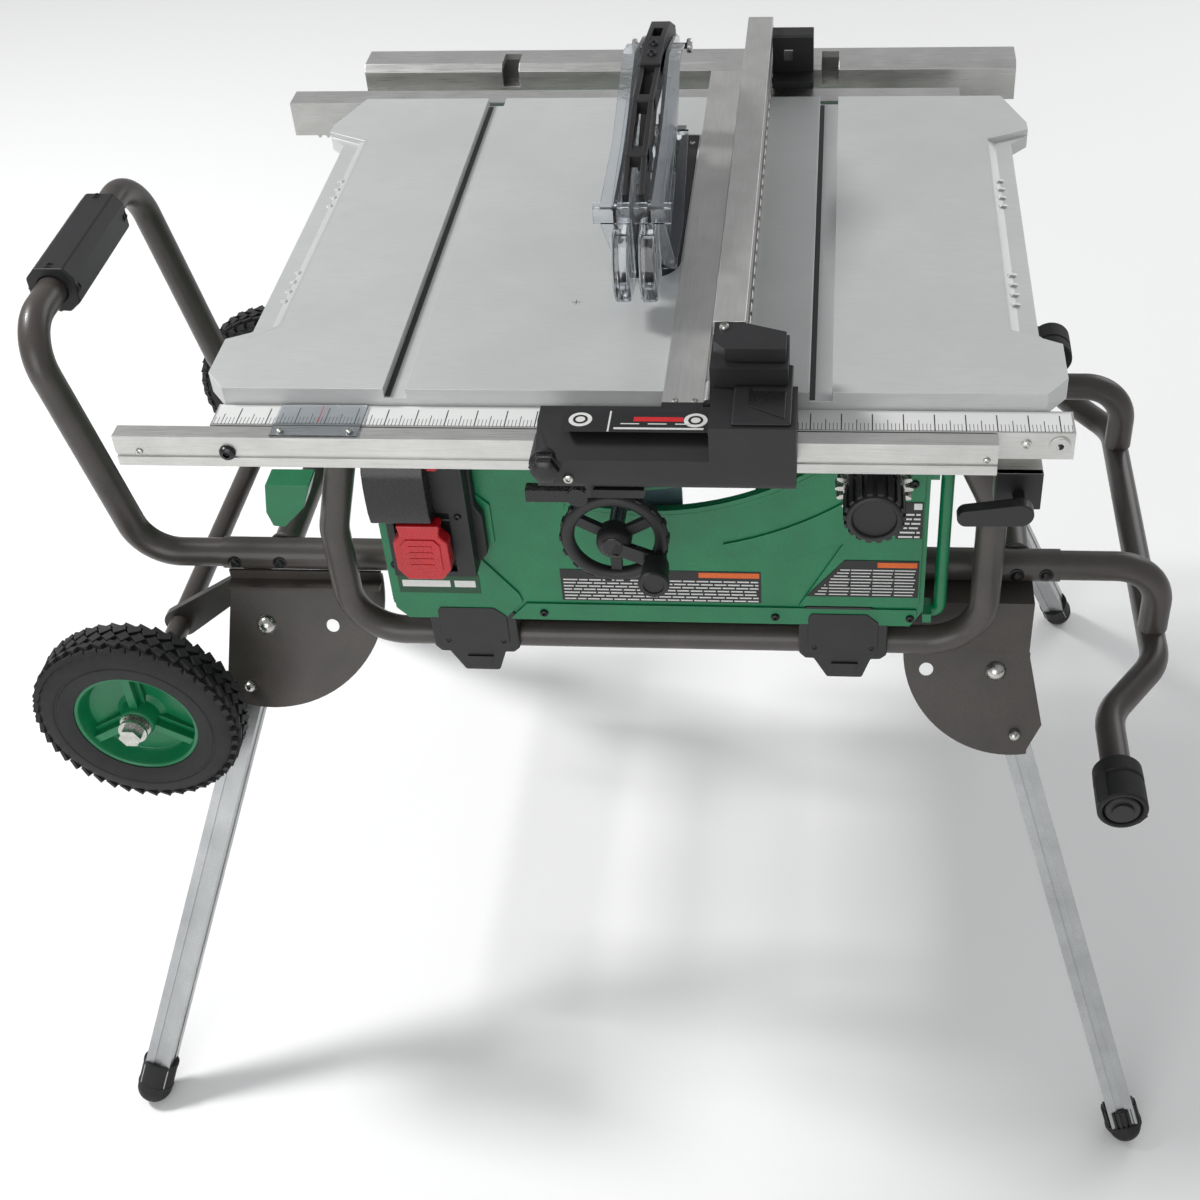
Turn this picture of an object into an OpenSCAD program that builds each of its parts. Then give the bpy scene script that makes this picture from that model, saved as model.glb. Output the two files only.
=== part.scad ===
// Jobsite table saw on a folding stand with two wheels.
// Working frame: x along the rails from the blade's plane, y back from the table's front edge,
// z up from the floor. placed() shifts all of it so that the origin is under the middle.

/* [Table] */
// Width of the table along the rails
table_w = 730; // [640:5:800]
// Depth of the table, front to back
table_d = 560; // [480:5:640]
// Height of the table's top above the floor
table_h = 848; // [780:1:920]
// Height of the table's rim
rim_h = 20; // [14:1:30]
// Thickness of the table's plate
plate_h = 6; // [4:0.5:10]
// How far each long side is drawn in at the waist
waist_in = 42; // [25:1:60]
// Width of the mitre slots
slot_w = 19; // [16:0.5:20]
// Depth of the mitre slots
slot_h = 9; // [7:0.5:12]
// Left mitre slot, distance from the blade
slot_left = 198; // [150:1:240]
// Right mitre slot, distance from the blade
slot_right = 161; // [130:1:220]

/* [Blade] */
// Blade diameter
blade_d = 254; // [210:1:260]
// Blade plate thickness
blade_t = 2.4; // [1.8:0.1:3.2]
// Arbor diameter
arbor_d = 15.9; // [12:0.1:20]
// Blade centre behind the table's front edge
blade_y = 330; // [300:1:360]
// Greatest height of the blade above the table
cut_h = 79; // [60:1:85]

/* [Rails and fence] */
// Length of the two sliding rails
slide_l = 736; // [660:1:800]
// Left end of the sliding rails, distance left of the blade
slide_left = 431; // [400:1:460]
// Height of the sliding rails
slide_h = 30; // [26:1:34]
// Module of the racks and pinions
gear_m = 3; // [2:0.5:3]
// Teeth of each pinion
pinion_n = 20; // [16:1:24]
// Width of the rip fence's beam
fence_w = 27; // [20:1:35]
// Height of the rip fence's beam
fence_h = 56; // [40:1:70]
// Rip distance, blade to fence
rip_x = 72; // [66:1:90]

/* [Stand] */
// Height of the stand's long tubes above the floor
frame_h = 571; // [520:1:620]
// Distance between the two long tubes
frame_d = 308; // [280:1:330]
// Front long tube behind the table's front edge
frame_y = 115; // [100:1:130]
// Left end of the long tubes, from the blade
frame_left = 436; // [420:1:470]
// Right end of the long tubes, from the blade
frame_right = 392; // [385:1:430]
// Radius of the long tubes
tube_r = 16; // [14:0.5:18]
// Wall of every steel tube
tube_wall = 2; // [1.5:0.1:2.5]
// Radius of the two end loops' tube
loop_r = 14.5; // [12:0.5:15]
// Radius of the saw's cage tube
cage_r = 14; // [11:0.5:15]

/* [Legs] */
// Outward lean of the legs' planes
lean = 26.5; // [18:0.5:30]
// Spread of the legs along the rails
rake = 17.2; // [10:0.1:22]
// Side of the square leg tube
leg_w = 27; // [22:0.5:28]
// Wall of the leg tube
leg_wall = 1.8; // [1.5:0.1:2.5]
// Thickness of the leg plates
leg_plate = 3; // [2:0.5:4]
// Pivot to lock hole
lock_r = 68; // [60:1:75]
// Radius of the rubber feet
foot_r = 18.5; // [16:0.5:19]

/* [Wheels] */
// Wheel diameter over the tyre
wheel_d = 203; // [180:1:215]
// Tyre width
tyre_w = 44; // [36:1:50]
// Axle diameter
axle_d = 16; // [12:0.5:20]
// Axle left of the blade
axle_x = 503; // [490:1:520]
// Axle below the table's top
axle_drop = 371; // [355:1:385]

/* [Hidden] */
$fn = 48;

// Colours
steel_grey = "#46423f";
cast_grey = "#c9cdd0";
extrusion = "#b8bcbe";
saw_green = "#00593a";
black = "#18181a";
red = "#b0101a";

// Shared values
gap = 0.3;
run_fit = 0.05;
mid_y = frame_y + frame_d / 2;
leg_gap = 1;
leg_off = leg_plate + leg_gap + leg_w / 2;
left_pivot = [-398, 75];
right_pivot = [335, 75 + leg_w + 6];
foot_z = foot_r - 1.5;
axle_z = table_h - axle_drop;
wheel_y = [mid_y - 289, mid_y + 289];

// Feet: where each leg's centre line reaches the foot's centre
function foot_v() = (frame_h - leg_off * sin(lean) - foot_z) / cos(lean);
function leg_l(pivot) = (foot_v() - pivot.y) / cos(rake);
function foot_x(pivot, side) = pivot.x + side * leg_l(pivot) * sin(rake);
min_x = -axle_x - wheel_d / 2;
max_x = foot_x(right_pivot, 1) + foot_r;
mid_x = (min_x + max_x) / 2;

// Blade and bevel carriage; the bevel axis lies in the table's top
bevel_z = table_h;
arbor_z = table_h + cut_h - blade_d / 2;
column_x = -44;
column_r = 10;
column_y = [blade_y - 92, blade_y + 92];
beam_low = table_h - 226;
block_top = 20;
block_low = 38;
crank_x = -15;
crank_z = table_h - 125;
crank_r = 7;
screw_y = blade_y - 130;

// Rails
slide_top = table_h - 16;
slide_y = -50;
slide_t = 17;
guide_y = -31;
guide_top = table_h - 17;
rack_top = slide_top - slide_h - 4;
pitch_r = gear_m * pinion_n / 2;
rack_h = gear_m * 2.25;
rack_pitch = rack_top - gear_m * 1.25;
pinion_z = rack_pitch - pitch_r;
pinion_x = 207;
lever_x = 327;
lever_z = table_h - 82;
rear_y = table_d + 15;
rear_t = 31;
shaft_r = 6;
knob_y = -62;
// Housing
house_x = [-245, 258];
house_y = [32, 500];
house_low = table_h - 286;
house_top = table_h - rim_h - 1;
house_wall = 4;
port_r = 31.75;
port_x = 60;
port_z = table_h - 215;
cage_y = 50;
cage_z = table_h - 318;
arm_x = 225;
arm_z = table_h - 132;
arm_r = 9;

// Places a working-frame shape in the part's own frame
module placed() {
    translate([-mid_x, -mid_y, 0]) children();
}

// Draws a shape and its mirror image across the stand's middle plane
module front_and_rear() {
    children();
    translate([0, 2 * mid_y, 0]) mirror([0, 1, 0]) children();
}

module to_rear() {
    translate([0, 2 * mid_y, 0]) mirror([0, 1, 0]) children();
}

// Cylinder along Y from y0 to y1
module rod_y(x, y0, y1, z, r) {
    translate([x, y1, z]) rotate([90, 0, 0]) cylinder(h = y1 - y0, r = r);
}

// Cylinder along X from x0 to x1
module rod_x(x0, x1, y, z, r) {
    translate([x0, y, z]) rotate([0, 90, 0]) cylinder(h = x1 - x0, r = r);
}

// Box from corner a to corner b
module block(a, b) {
    translate(a) cube(b - a);
}

function unit(v) = v / norm(v);
function side_of(v) = unit(abs(v.z) < 0.9 ? cross(v, [0, 0, 1]) : cross(v, [1, 0, 0]));

// Puts children at p with their Z along dir and X along side
module aimed(p, dir, side) {
    up = cross(dir, side);
    multmatrix([[side.x, up.x, dir.x, p.x], [side.y, up.y, dir.y, p.y],
        [side.z, up.z, dir.z, p.z], [0, 0, 0, 1]]) children();
}

// Ring, or a disc where the wall fills the bore
module ring(r, wall) {
    difference() {
        circle(r);
        if (wall < r) circle(r - wall);
    }
}

// Tube through the points, bent at each inner point with radius bend
module bent_tube(pts, r, bend, wall = tube_wall) {
    last = len(pts) - 1;
    nest = 0.05;
    dirs = [for (i = [0:last - 1]) unit(pts[i + 1] - pts[i])];
    turn = [for (i = [0:last]) i == 0 || i == last ? 0 : acos(min(1, dirs[i - 1] * dirs[i]))];
    trim = [for (a = turn) a == 0 ? 0 : bend * tan(a / 2) - 0.8];
    for (i = [0:last - 1]) {
        length = norm(pts[i + 1] - pts[i]) - trim[i] - trim[i + 1];
        aimed(pts[i] + dirs[i] * trim[i], dirs[i], side_of(dirs[i])) rotate(50) difference() {
            cylinder(h = length, r = r - nest);
            if (wall < r) translate([0, 0, -1]) cylinder(h = length + 2, r = r - wall + nest);
        }
    }
    for (i = [1:1:last - 1]) {
        inner = unit(dirs[i] - dirs[i - 1] * (dirs[i] * dirs[i - 1]));
        aimed(pts[i] - dirs[i - 1] * (trim[i] + 0.8), dirs[i - 1], inner)
            translate([bend, 0, 0]) rotate([90, 0, 0]) rotate([0, 0, 180 - turn[i]])
            rotate_extrude(angle = turn[i]) translate([bend, 0]) ring(r, wall);
    }
}

// ---- Stand ----

frame_bore = tube_r - tube_wall;

module stand_frame() {
    color(steel_grey) placed() {
        front_and_rear() difference() {
            rod_x(-frame_left, frame_right, frame_y, frame_h, tube_r);
            rod_x(-frame_left - 1, frame_right + 1, frame_y, frame_h, frame_bore);
        }
        for (x = [-376, 350])
            difference() {
                rod_y(x, frame_y + frame_bore + 0.6, frame_y + frame_d - frame_bore - 0.6, frame_h, cage_r);
                rod_y(x, frame_y, frame_y + frame_d, frame_h, cage_r - tube_wall);
            }
    }
}

// Plugs that join an end loop's tube to the long tubes, inside both
spigot_l = 55;

module spigot(x0, x1) {
    front_and_rear() rod_x(x0, x1, frame_y, frame_h, loop_r - tube_wall - 0.15);
}

module pull_handle() {
    top_x = -572;
    top_z = table_h - 22;
    color(steel_grey) placed() {
        bent_tube([[-frame_left, frame_y, frame_h], [-517, frame_y, frame_h], [top_x, frame_y, top_z],
            [top_x, frame_y + frame_d, top_z], [-517, frame_y + frame_d, frame_h],
            [-frame_left, frame_y + frame_d, frame_h]], loop_r, 46);
        spigot(-frame_left - 25, -frame_left + spigot_l);
    }
}

module handle_grip() {
    grip_l = 150;
    color(black) placed() translate([-572, mid_y, table_h - 22]) rotate([90, 0, 0])
        difference() {
            translate([0, 0, -grip_l / 2]) linear_extrude(grip_l) offset(delta = 0)
                polygon([[-23, -10], [-14, -22], [12, -24], [24, -14], [24, 12], [16, 23], [-12, 23], [-23, 12]]);
            translate([0, 0, -grip_l]) cylinder(h = 2 * grip_l, r = loop_r);
        }
}

// The bar across the right end and its two capped horns
bar_x = 490;
bar_z = table_h - 365;
horn_x = 436;
cap_y = frame_y - 237;

module end_loop() {
    color(steel_grey) placed() {
        front_and_rear() {
            bent_tube([[frame_right, frame_y, frame_h], [bar_x, frame_y, frame_h],
                [bar_x, frame_y, bar_z + loop_r - 3]], loop_r, 44);
            bent_tube([[bar_x, mid_y, bar_z], [bar_x, frame_y - 40, bar_z], [horn_x, frame_y - 115, bar_z],
                [horn_x, cap_y + 6, bar_z]], loop_r - 0.5, 60);
        }
        spigot(frame_right - spigot_l, frame_right + 25);
    }
}

module loop_caps() {
    color(black) placed() front_and_rear() difference() {
        union() {
            rod_y(horn_x, cap_y, cap_y + 52, bar_z, 23);
            rod_y(horn_x, cap_y - 5, cap_y + 1, bar_z, 19);
        }
        rod_y(horn_x, cap_y + 6, cap_y + 60, bar_z, loop_r - 0.5);
    }
}

// Plane of a leg: X along the rails, Y up the slope, Z out of the outer face
module leg_plane() {
    translate([0, frame_y, frame_h]) rotate([90 - lean, 0, 0]) children();
}

// Quarter-round leg plate for the left end, in the leg's plane
module left_plate_shape() {
    r = 123;
    cx = left_pivot.x;
    cy = -left_pivot.y + 35;
    edge = -frame_left + 4;
    difference() {
        intersection() {
            translate([cx, cy]) circle(r, $fn = 96);
            translate([edge, cy - r]) square([cx + r - edge, r - cy - 20]);
        }
        translate([cx + lock_r, -left_pivot.y]) circle(7);
    }
    polygon([[edge, -24], [edge - 12, -150], [edge + 8, -160], [edge + 30, -150], [edge + 10, -24]]);
}

// Quarter-round leg plate for the right end, in the leg's plane
module right_plate_shape() {
    r = 106;
    cx = right_pivot.x + 15;
    cy = -right_pivot.y + 19;
    difference() {
        union() {
            intersection() {
                translate([cx, cy]) circle(r, $fn = 96);
                translate([cx - r, cy - r]) square([r + 18, r]);
            }
            polygon([[cx, cy], [cx + 17, cy], [cx + 32, cy - 74], [cx + 16, cy - 104], [cx, cy - r]]);
        }
        translate([right_pivot.x - lock_r, -right_pivot.y]) circle(7);
    }
}

module leg_plates() {
    fold_y = -right_pivot.y + 19;
    web_y = frame_y + fold_y * sin(lean);
    web_z = frame_h + fold_y * cos(lean);
    color(steel_grey) placed() front_and_rear() {
        leg_plane() {
            difference() {
                translate([0, 0, -leg_plate]) linear_extrude(leg_plate) left_plate_shape();
                leg_holes(left_pivot, -1);
            }
            difference() {
                translate([0, 0, -leg_plate]) linear_extrude(leg_plate) right_plate_shape();
                leg_holes(right_pivot, 1);
            }
        }
        // left flange up to the tube
        block([-frame_left + 4, frame_y - 12, frame_h - 26], [left_pivot.x + 121, frame_y - 9, frame_h - 13.5]);
        block([-frame_left + 4, frame_y - 26, frame_h - 27], [left_pivot.x + 121, frame_y - 9, frame_h - 24]);
        // right web up to the tube
        block([right_pivot.x - 91, web_y, web_z - 1], [right_pivot.x + 32, web_y + leg_plate, frame_h - tube_r - 1]);
        block([right_pivot.x - 91, web_y, frame_h - tube_r - leg_plate],
            [right_pivot.x + 32, frame_y + 6, frame_h - tube_r - 0.05]);
    }
}

// Pivot and lock holes through a leg plate
bolt_r = 5;
button_r = 6;

module leg_holes(pivot, side) {
    translate([pivot.x, -pivot.y, -leg_plate - 1]) cylinder(h = leg_plate + 2, r = bolt_r + run_fit);
    translate([pivot.x + side * lock_r * sin(rake), -pivot.y - lock_r * cos(rake), -leg_plate - 1])
        cylinder(h = leg_plate + 2, r = button_r + run_fit);
}

// Square leg tube with a shallow groove down each side
module leg_section() {
    w = leg_w / 2;
    groove = 4;
    depth = 1.2;
    difference() {
        square(leg_w, center = true);
        square(leg_w - 2 * (leg_wall + depth), center = true);
        for (a = [0:90:270]) rotate(a) translate([w - depth, -groove]) square([depth + 1, 2 * groove]);
    }
}

// A leg with its pivot hole: along -Y of its own plane, then turned by the rake
module leg(pivot, side) {
    tail = 22;
    leg_plane() translate([pivot.x, -pivot.y, -leg_off]) rotate(side * rake) difference() {
        union() {
            translate([0, tail, 0]) rotate([90, 0, 0]) linear_extrude(leg_l(pivot) + tail - 6) leg_section();
            // pivot sleeve
            translate([0, 0, -leg_w / 2 + 1]) cylinder(h = leg_w - 2, r = bolt_r + 3);
        }
        translate([0, 0, -leg_w]) cylinder(h = 2 * leg_w, r = bolt_r + run_fit);
        translate([0, -lock_r, 0]) cylinder(h = leg_w, r = button_r + gap);
    }
}

module leg_front_left() { color(extrusion) placed() leg(left_pivot, -1); }
module leg_rear_left() { color(extrusion) placed() to_rear() leg(left_pivot, -1); }
module leg_front_right() { color(extrusion) placed() leg(right_pivot, 1); }
module leg_rear_right() { color(extrusion) placed() to_rear() leg(right_pivot, 1); }

// Rubber boot: a cup on the leg's end with a round sole
module boot(pivot, side) {
    boot_l = 34;
    leg_plane() translate([pivot.x, -pivot.y, -leg_off]) rotate(side * rake)
        translate([0, -leg_l(pivot), 0]) difference() {
            union() {
                sphere(foot_r);
                rotate([-90, 0, 0]) cylinder(h = boot_l, r = foot_r);
            }
            translate([-leg_w / 2, 6, -leg_w / 2]) cube([leg_w, boot_l, leg_w]);
        }
}

// Each boot's sole is flat where it stands on the floor
module on_floor() {
    difference() {
        children();
        translate([-1000, -1000, -20]) cube([2000, 2000, 20]);
    }
}

module foot_front_left() { color(black) on_floor() placed() boot(left_pivot, -1); }
module foot_rear_left() { color(black) on_floor() placed() to_rear() boot(left_pivot, -1); }
module foot_rear_right() { color(black) on_floor() placed() to_rear() boot(right_pivot, 1); }

// Screw foot that levels the stand: round cup, ribbed collar and a stem inside the leg
module levelling_foot() {
    color(black) placed() leg_plane() translate([right_pivot.x, -right_pivot.y, -leg_off])
        rotate(rake) translate([0, -leg_l(right_pivot), 0]) {
            difference() {
                sphere(foot_z);
                translate([-30, 0, -30]) cube([60, 60, 60]);
            }
            rotate([-90, 0, 0]) cylinder(h = 5.5, r = foot_r);
            rotate([-90, 0, 0]) cylinder(h = 50, r = 9);
        }
}

module leg_pivot_bolts() {
    color("silver") placed() front_and_rear() leg_plane()
        for (p = [left_pivot, right_pivot]) translate([p.x, -p.y, 0]) {
            translate([0, 0, -leg_off - leg_w / 2 - 6]) cylinder(h = leg_off + leg_w / 2 + 6, r = bolt_r);
            intersection() {
                translate([0, 0, -4]) sphere(11);
                cylinder(h = 8, r = 12);
            }
            translate([0, 0, -leg_off - leg_w / 2 - 6]) cylinder(h = 5, r = 8, $fn = 6);
        }
}

// Spring button that locks a leg, pressed in along the plate's hole
module lock_button(pivot, side) {
    leg_plane() translate([pivot.x + side * lock_r * sin(rake), -pivot.y - lock_r * cos(rake), 0]) {
        translate([0, 0, -leg_plate]) cylinder(h = leg_plate + 3, r = button_r);
        translate([0, 0, 3]) intersection() {
            sphere(button_r);
            cylinder(h = 8, r = 8);
        }
    }
}

module lock_button_front_left() { color("silver") placed() lock_button(left_pivot, -1); }
module lock_button_rear_left() { color("silver") placed() to_rear() lock_button(left_pivot, -1); }
module lock_button_front_right() { color("silver") placed() lock_button(right_pivot, 1); }
module lock_button_rear_right() { color("silver") placed() to_rear() lock_button(right_pivot, 1); }

// ---- Wheels ----

sleeve_r = axle_d / 2 + 3;

module axle_brackets() {
    arm_t = 8;
    color(steel_grey) placed() {
        front_and_rear() difference() {
            hull() {
                rod_y(-404, frame_y - arm_t / 2, frame_y + arm_t / 2, frame_h - tube_r - 8, 10);
                rod_y(-axle_x, frame_y - arm_t / 2, frame_y + arm_t / 2, axle_z, 17);
            }
            rod_y(-axle_x, frame_y - arm_t, frame_y + arm_t, axle_z, sleeve_r);
            rod_x(-frame_left - 20, -360, frame_y, frame_h, tube_r);
        }
        difference() {
            rod_y(-axle_x, wheel_y[0] + tyre_w / 2 + 3, wheel_y[1] - tyre_w / 2 - 3, axle_z, sleeve_r);
            rod_y(-axle_x, wheel_y[0], wheel_y[1], axle_z, axle_d / 2);
        }
    }
}

module axle() {
    color("silver") placed() {
        rod_y(-axle_x, wheel_y[0] - tyre_w / 2 - 6, wheel_y[1] + tyre_w / 2 + 6, axle_z, axle_d / 2);
        front_and_rear() translate([-axle_x, wheel_y[0] - tyre_w / 2 - 4, axle_z]) rotate([90, 0, 0]) {
            cylinder(h = 3, r = 14);
            cylinder(h = 12, r = 11, $fn = 6);
        }
    }
}

rim_r = 62;
hub_r = 17;

// Dished three-spoke rim
module rim() {
    w = tyre_w;
    difference() {
        union() {
            rotate_extrude($fn = 96) polygon([[rim_r - 7, -w / 2 + 5], [rim_r, -w / 2 + 5], [rim_r, w / 2 - 5],
                [rim_r - 7, w / 2 - 5]]);
            translate([0, 0, -w / 2 + 12]) cylinder(h = 5, r = rim_r - 2);
            translate([0, 0, -w / 2]) cylinder(h = w, r = hub_r);
            for (a = [90, 210, 330]) rotate(a) translate([hub_r - 3, -6, -w / 2 + 4])
                cube([rim_r - hub_r - 2, 12, 12]);
        }
        translate([0, 0, -w]) cylinder(h = 2 * w, r = axle_d / 2 + run_fit);
    }
}

// Tyre with rounded shoulders
module tyre() {
    w = tyre_w;
    r = wheel_d / 2;
    rotate_extrude($fn = 96) polygon([[rim_r, -w / 2 + 5], [rim_r + 6, -w / 2], [r - 12, -w / 2], [r - 4, -w / 2 + 5],
        [r, -w / 2 + 13], [r, w / 2 - 13], [r - 4, w / 2 - 5], [r - 12, w / 2], [rim_r + 6, w / 2], [rim_r, w / 2 - 5]]);
}

module at_wheel(i) {
    translate([-axle_x, wheel_y[i], axle_z]) rotate([i == 0 ? 90 : -90, 0, 0]) mirror([0, 0, 1]) children();
}

module rim_front() { color(saw_green) placed() at_wheel(0) rim(); }
module rim_rear() { color(saw_green) placed() at_wheel(1) rim(); }
module tyre_front() { color(black) placed() at_wheel(0) tyre(); }
module tyre_rear() { color(black) placed() at_wheel(1) tyre(); }

// ---- Base of the saw ----

module saw_clamps() {
    clamp_w = 84;
    color(black) placed() for (x = [-212, 142]) front_and_rear() difference() {
        union() {
            block([x, cage_y - cage_r - 6, cage_z - cage_r + 4], [x + clamp_w, frame_y + 14, table_h - 262]);
            translate([x + clamp_w / 2, cage_y - cage_r - 1, cage_z - cage_r + 4]) rotate([90, 0, 0])
                linear_extrude(6) polygon([[-30, 1], [-25, -24], [25, -24], [30, 1]]);
        }
        rod_x(x - 1, x + clamp_w + 1, cage_y, cage_z, cage_r);
        rod_x(x - 1, x + clamp_w + 1, frame_y, frame_h, tube_r);
        block([x - 1, house_y[0] - 1, house_low - 1], [x + clamp_w + 1, frame_y - tube_r - 3, table_h - 250]);
    }
}

module base_cage() {
    strap_z = cage_z + 4;
    color(steel_grey) placed() {
        front_and_rear() bent_tube([[-262, cage_y, table_h - 62], [-294, cage_y, table_h - 190],
            [-294, cage_y, cage_z], [316, cage_y, cage_z], [316, cage_y, table_h - 150],
            [276, cage_y, table_h - 62]], cage_r, 52);
        for (x = [-90, 90])
            block([x, cage_y, strap_z], [x + 36, 2 * mid_y - cage_y, strap_z + 5]);
        // feet pads under the table
        front_and_rear() for (x = [-262, 276]) {
            block([x - 16, cage_y - 16, table_h - 66], [x + 16, cage_y + 16, table_h - rim_h]);
        }
    }
}

// Front wall of the housing with its smile-shaped opening
module house_front_shape() {
    smile_r = 257;
    difference() {
        polygon([[house_x[0], house_low + 20], [house_x[0] + 12, house_low], [house_x[1] - 12, house_low],
            [house_x[1], house_low + 20], [house_x[1], house_top], [-190, house_top], [-200, table_h - 116]]);
        intersection() {
            translate([4, table_h + 108]) circle(smile_r, $fn = 128);
            translate([-75, table_h - 160]) square([250, 108]);
        }
    }
}

module housing() {
    color(saw_green) placed() {
        difference() {
            union() {
                translate([0, house_y[0] + house_wall, 0]) rotate([90, 0, 0]) linear_extrude(house_wall)
                    house_front_shape();
                for (x = [house_x[0], house_x[1] - house_wall])
                    block([x, house_y[0], house_low + 22], [x + house_wall, house_y[1], house_top]);
                block([house_x[0], house_y[1] - house_wall, house_low + 12], [house_x[1], house_y[1], house_top]);
                rod_y(port_x, house_y[1] - 1, house_y[1] + 40, port_z, port_r);
                for (x = [-arm_x, arm_x]) rod_y(x, house_y[1] - 46, house_y[1], arm_z, arm_r + 4);
            }
            for (x = [-arm_x, arm_x]) rod_y(x, house_y[1] - 60, house_y[1] + 10, arm_z, arm_r + run_fit);
            rod_y(port_x, house_y[1] - 20, house_y[1] + 60, port_z, port_r - 2.75);
            front_and_rear() rod_x(-400, 400, frame_y, frame_h, tube_r + gap);
            rod_y(pinion_x, 0, 700, pinion_z, shaft_r + 2);
            // room for the cage and the clamps
            front_and_rear() rod_x(-400, 400, cage_y, cage_z, cage_r + gap);
        }
    }
}

module switch_box() {
    color(black) placed() {
        difference() {
            union() {
                block([-229, 4, table_h - 210], [-153, house_y[0], table_h - 72]);
                block([-236, -10, table_h - 134], [-184, 5, table_h - 74]);
            }
            block([-222, 2, table_h - 204], [-170, 12, table_h - 136]);
        }
        rod_x(-223, -169, 4, paddle_z - 4, 1.5);
    }
}

paddle_z = table_h - 139;

module switch_paddle() {
    color(red) placed() difference() {
        union() {
            translate([-221, 0, 0]) rotate([90, 0, 90]) linear_extrude(50) polygon([[4, paddle_z + 1],
                [-7, paddle_z - 2], [-13, paddle_z - 30], [-11, paddle_z - 60], [-5, paddle_z - 62], [3, paddle_z - 32]]);
            rod_x(-221, -171, 4, paddle_z - 4, 4);
        }
        rod_x(-230, -160, 4, paddle_z - 4, 1.5 + run_fit);
    }
}

module side_hook() {
    x = house_x[1];
    color(saw_green) placed() {
        for (z = [table_h - 116, table_h - 284]) block([x, 36, z], [x + 8, 60, z + 10]);
        bent_tube([[x + 2, 48, table_h - 111], [x + 16, 48, table_h - 111], [x + 16, 48, table_h - 279],
            [x + 2, 48, table_h - 279]], 6, 9, 6);
    }
}

// ---- Table ----

half_w = table_w / 2;
waist = half_w - waist_in;
waist_y = [98, 459];
insert_x = [-31, 28];
insert_y = [182, 470];
slot_x = [-4.5, 9.5];
insert_t = 5;

// Dog-bone outline, with the sides drawn in by inset at the waist
module table_outline(inset) {
    w = half_w - inset;
    polygon([[-half_w + 18, 0], [half_w - 18, 0], [half_w, 23], [half_w, 76], [w, waist_y[0]],
        [w, waist_y[1]], [half_w, table_d - 64 - 16], [half_w, table_d - 64], [half_w - 23, table_d],
        [-half_w + 23, table_d], [-half_w, table_d - 64], [-half_w, table_d - 80], [-w, waist_y[1]],
        [-w, waist_y[0]], [-half_w, 76], [-half_w, 23]]);
}

// Round-fronted slot shape of the throat plate, grown by g
module insert_shape(g) {
    w = insert_x[1] - insert_x[0];
    cx = (insert_x[0] + insert_x[1]) / 2;
    translate([cx, insert_y[0] + w / 2]) circle(w / 2 + g);
    translate([insert_x[0] - g, insert_y[0] + w / 2]) square([w + 2 * g, insert_y[1] - insert_y[0] - w / 2 + g]);
}

module table() {
    rib = 5;
    step = waist_in - 24;
    color(cast_grey) placed() difference() {
        union() {
            translate([0, 0, table_h - plate_h]) linear_extrude(plate_h) table_outline(waist_in);
            // rim under the plate, wider at the waist than the top
            translate([0, 0, table_h - rim_h]) linear_extrude(rim_h - plate_h) difference() {
                table_outline(step);
                difference() {
                    square([table_w - 2 * (step + 2 * rib + 18), 2 * table_d - 2 * rib - 4], center = true);
                    translate([-half_w, -table_d]) square([table_w, table_d + 2 * rib]);
                }
            }
            // sloping sides at the waist
            for (s = [-1, 1]) scale_side(s) translate([0, waist_y[1] + 26, 0]) rotate([90, 0, 0])
                linear_extrude(waist_y[1] - waist_y[0] + 42) polygon([[waist - 4, table_h - rim_h],
                    [waist - 4, table_h - 0.5], [waist, table_h - 1], [half_w - step, table_h - rim_h + 4],
                    [half_w - step, table_h - rim_h]]);
            // cast beds round the slots and the throat
            for (x = [-slot_left, slot_right]) block([x - slot_w / 2 - 4, 6, table_h - slot_h - 4],
                [x + slot_w / 2 + 4, table_d - 6, table_h - 1]);
            translate([0, 0, table_h - insert_t - 4]) linear_extrude(insert_t + 3) insert_shape(6);
        }
        for (x = [-slot_left, slot_right]) block([x - slot_w / 2, -1, table_h - slot_h],
            [x + slot_w / 2, table_d + 1, table_h + 1]);
        translate([0, 0, table_h - insert_t]) linear_extrude(insert_t + 1) insert_shape(gap);
        translate([0, 0, table_h - rim_h - 1]) linear_extrude(rim_h) insert_shape(-4);
        block([-5, insert_y[1] - 10, table_h - rim_h - 1], [13, blade_y + 163, table_h + 1]);
    }
}

module scale_side(s) {
    if (s > 0) children();
    else mirror([1, 0, 0]) children();
}

module throat_plate() {
    color(black) placed() translate([0, 0, table_h - insert_t]) linear_extrude(insert_t - 0.2) difference() {
        insert_shape(0);
        translate([slot_x[0], blade_y - blade_d / 2 - 6]) square([slot_x[1] - slot_x[0], blade_d + 40]);
    }
}

// ---- Rails and rip fence ----

module front_guide_rail() {
    hanger = [308, 346];
    z = table_h;
    color(extrusion) placed() difference() {
        union() {
            block([-352, guide_y, guide_top - 26], [368, 0, guide_top]);
            rod_y(356, guide_y - 2.4, guide_y, guide_top - 12, 8);
            rod_y(329, guide_y - 2, guide_y, guide_top - 11, 4);
            // hanger of the rail lock, behind and under the sliding rail
            block([hanger[0], -5, z - 66], [hanger[1], 0, guide_top - 20]);
            block([hanger[0], guide_y + 4, z - 66], [hanger[1], 0, z - 61]);
            block([hanger[0], guide_y + 4, z - 98], [hanger[1], guide_y + 10, z - 61]);
            block([hanger[0], guide_y + 4, z - 98], [hanger[0] + 4, 0, z - 61]);
        }
        block([-400, guide_y + 4, guide_top - 22], [400, -6, guide_top - 3]);
        rod_y(356, guide_y - 12, guide_y + 12, guide_top - 12, 3);
        rod_y(lever_x, guide_y, guide_y + 20, lever_z, 5 + run_fit);
    }
}

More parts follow.
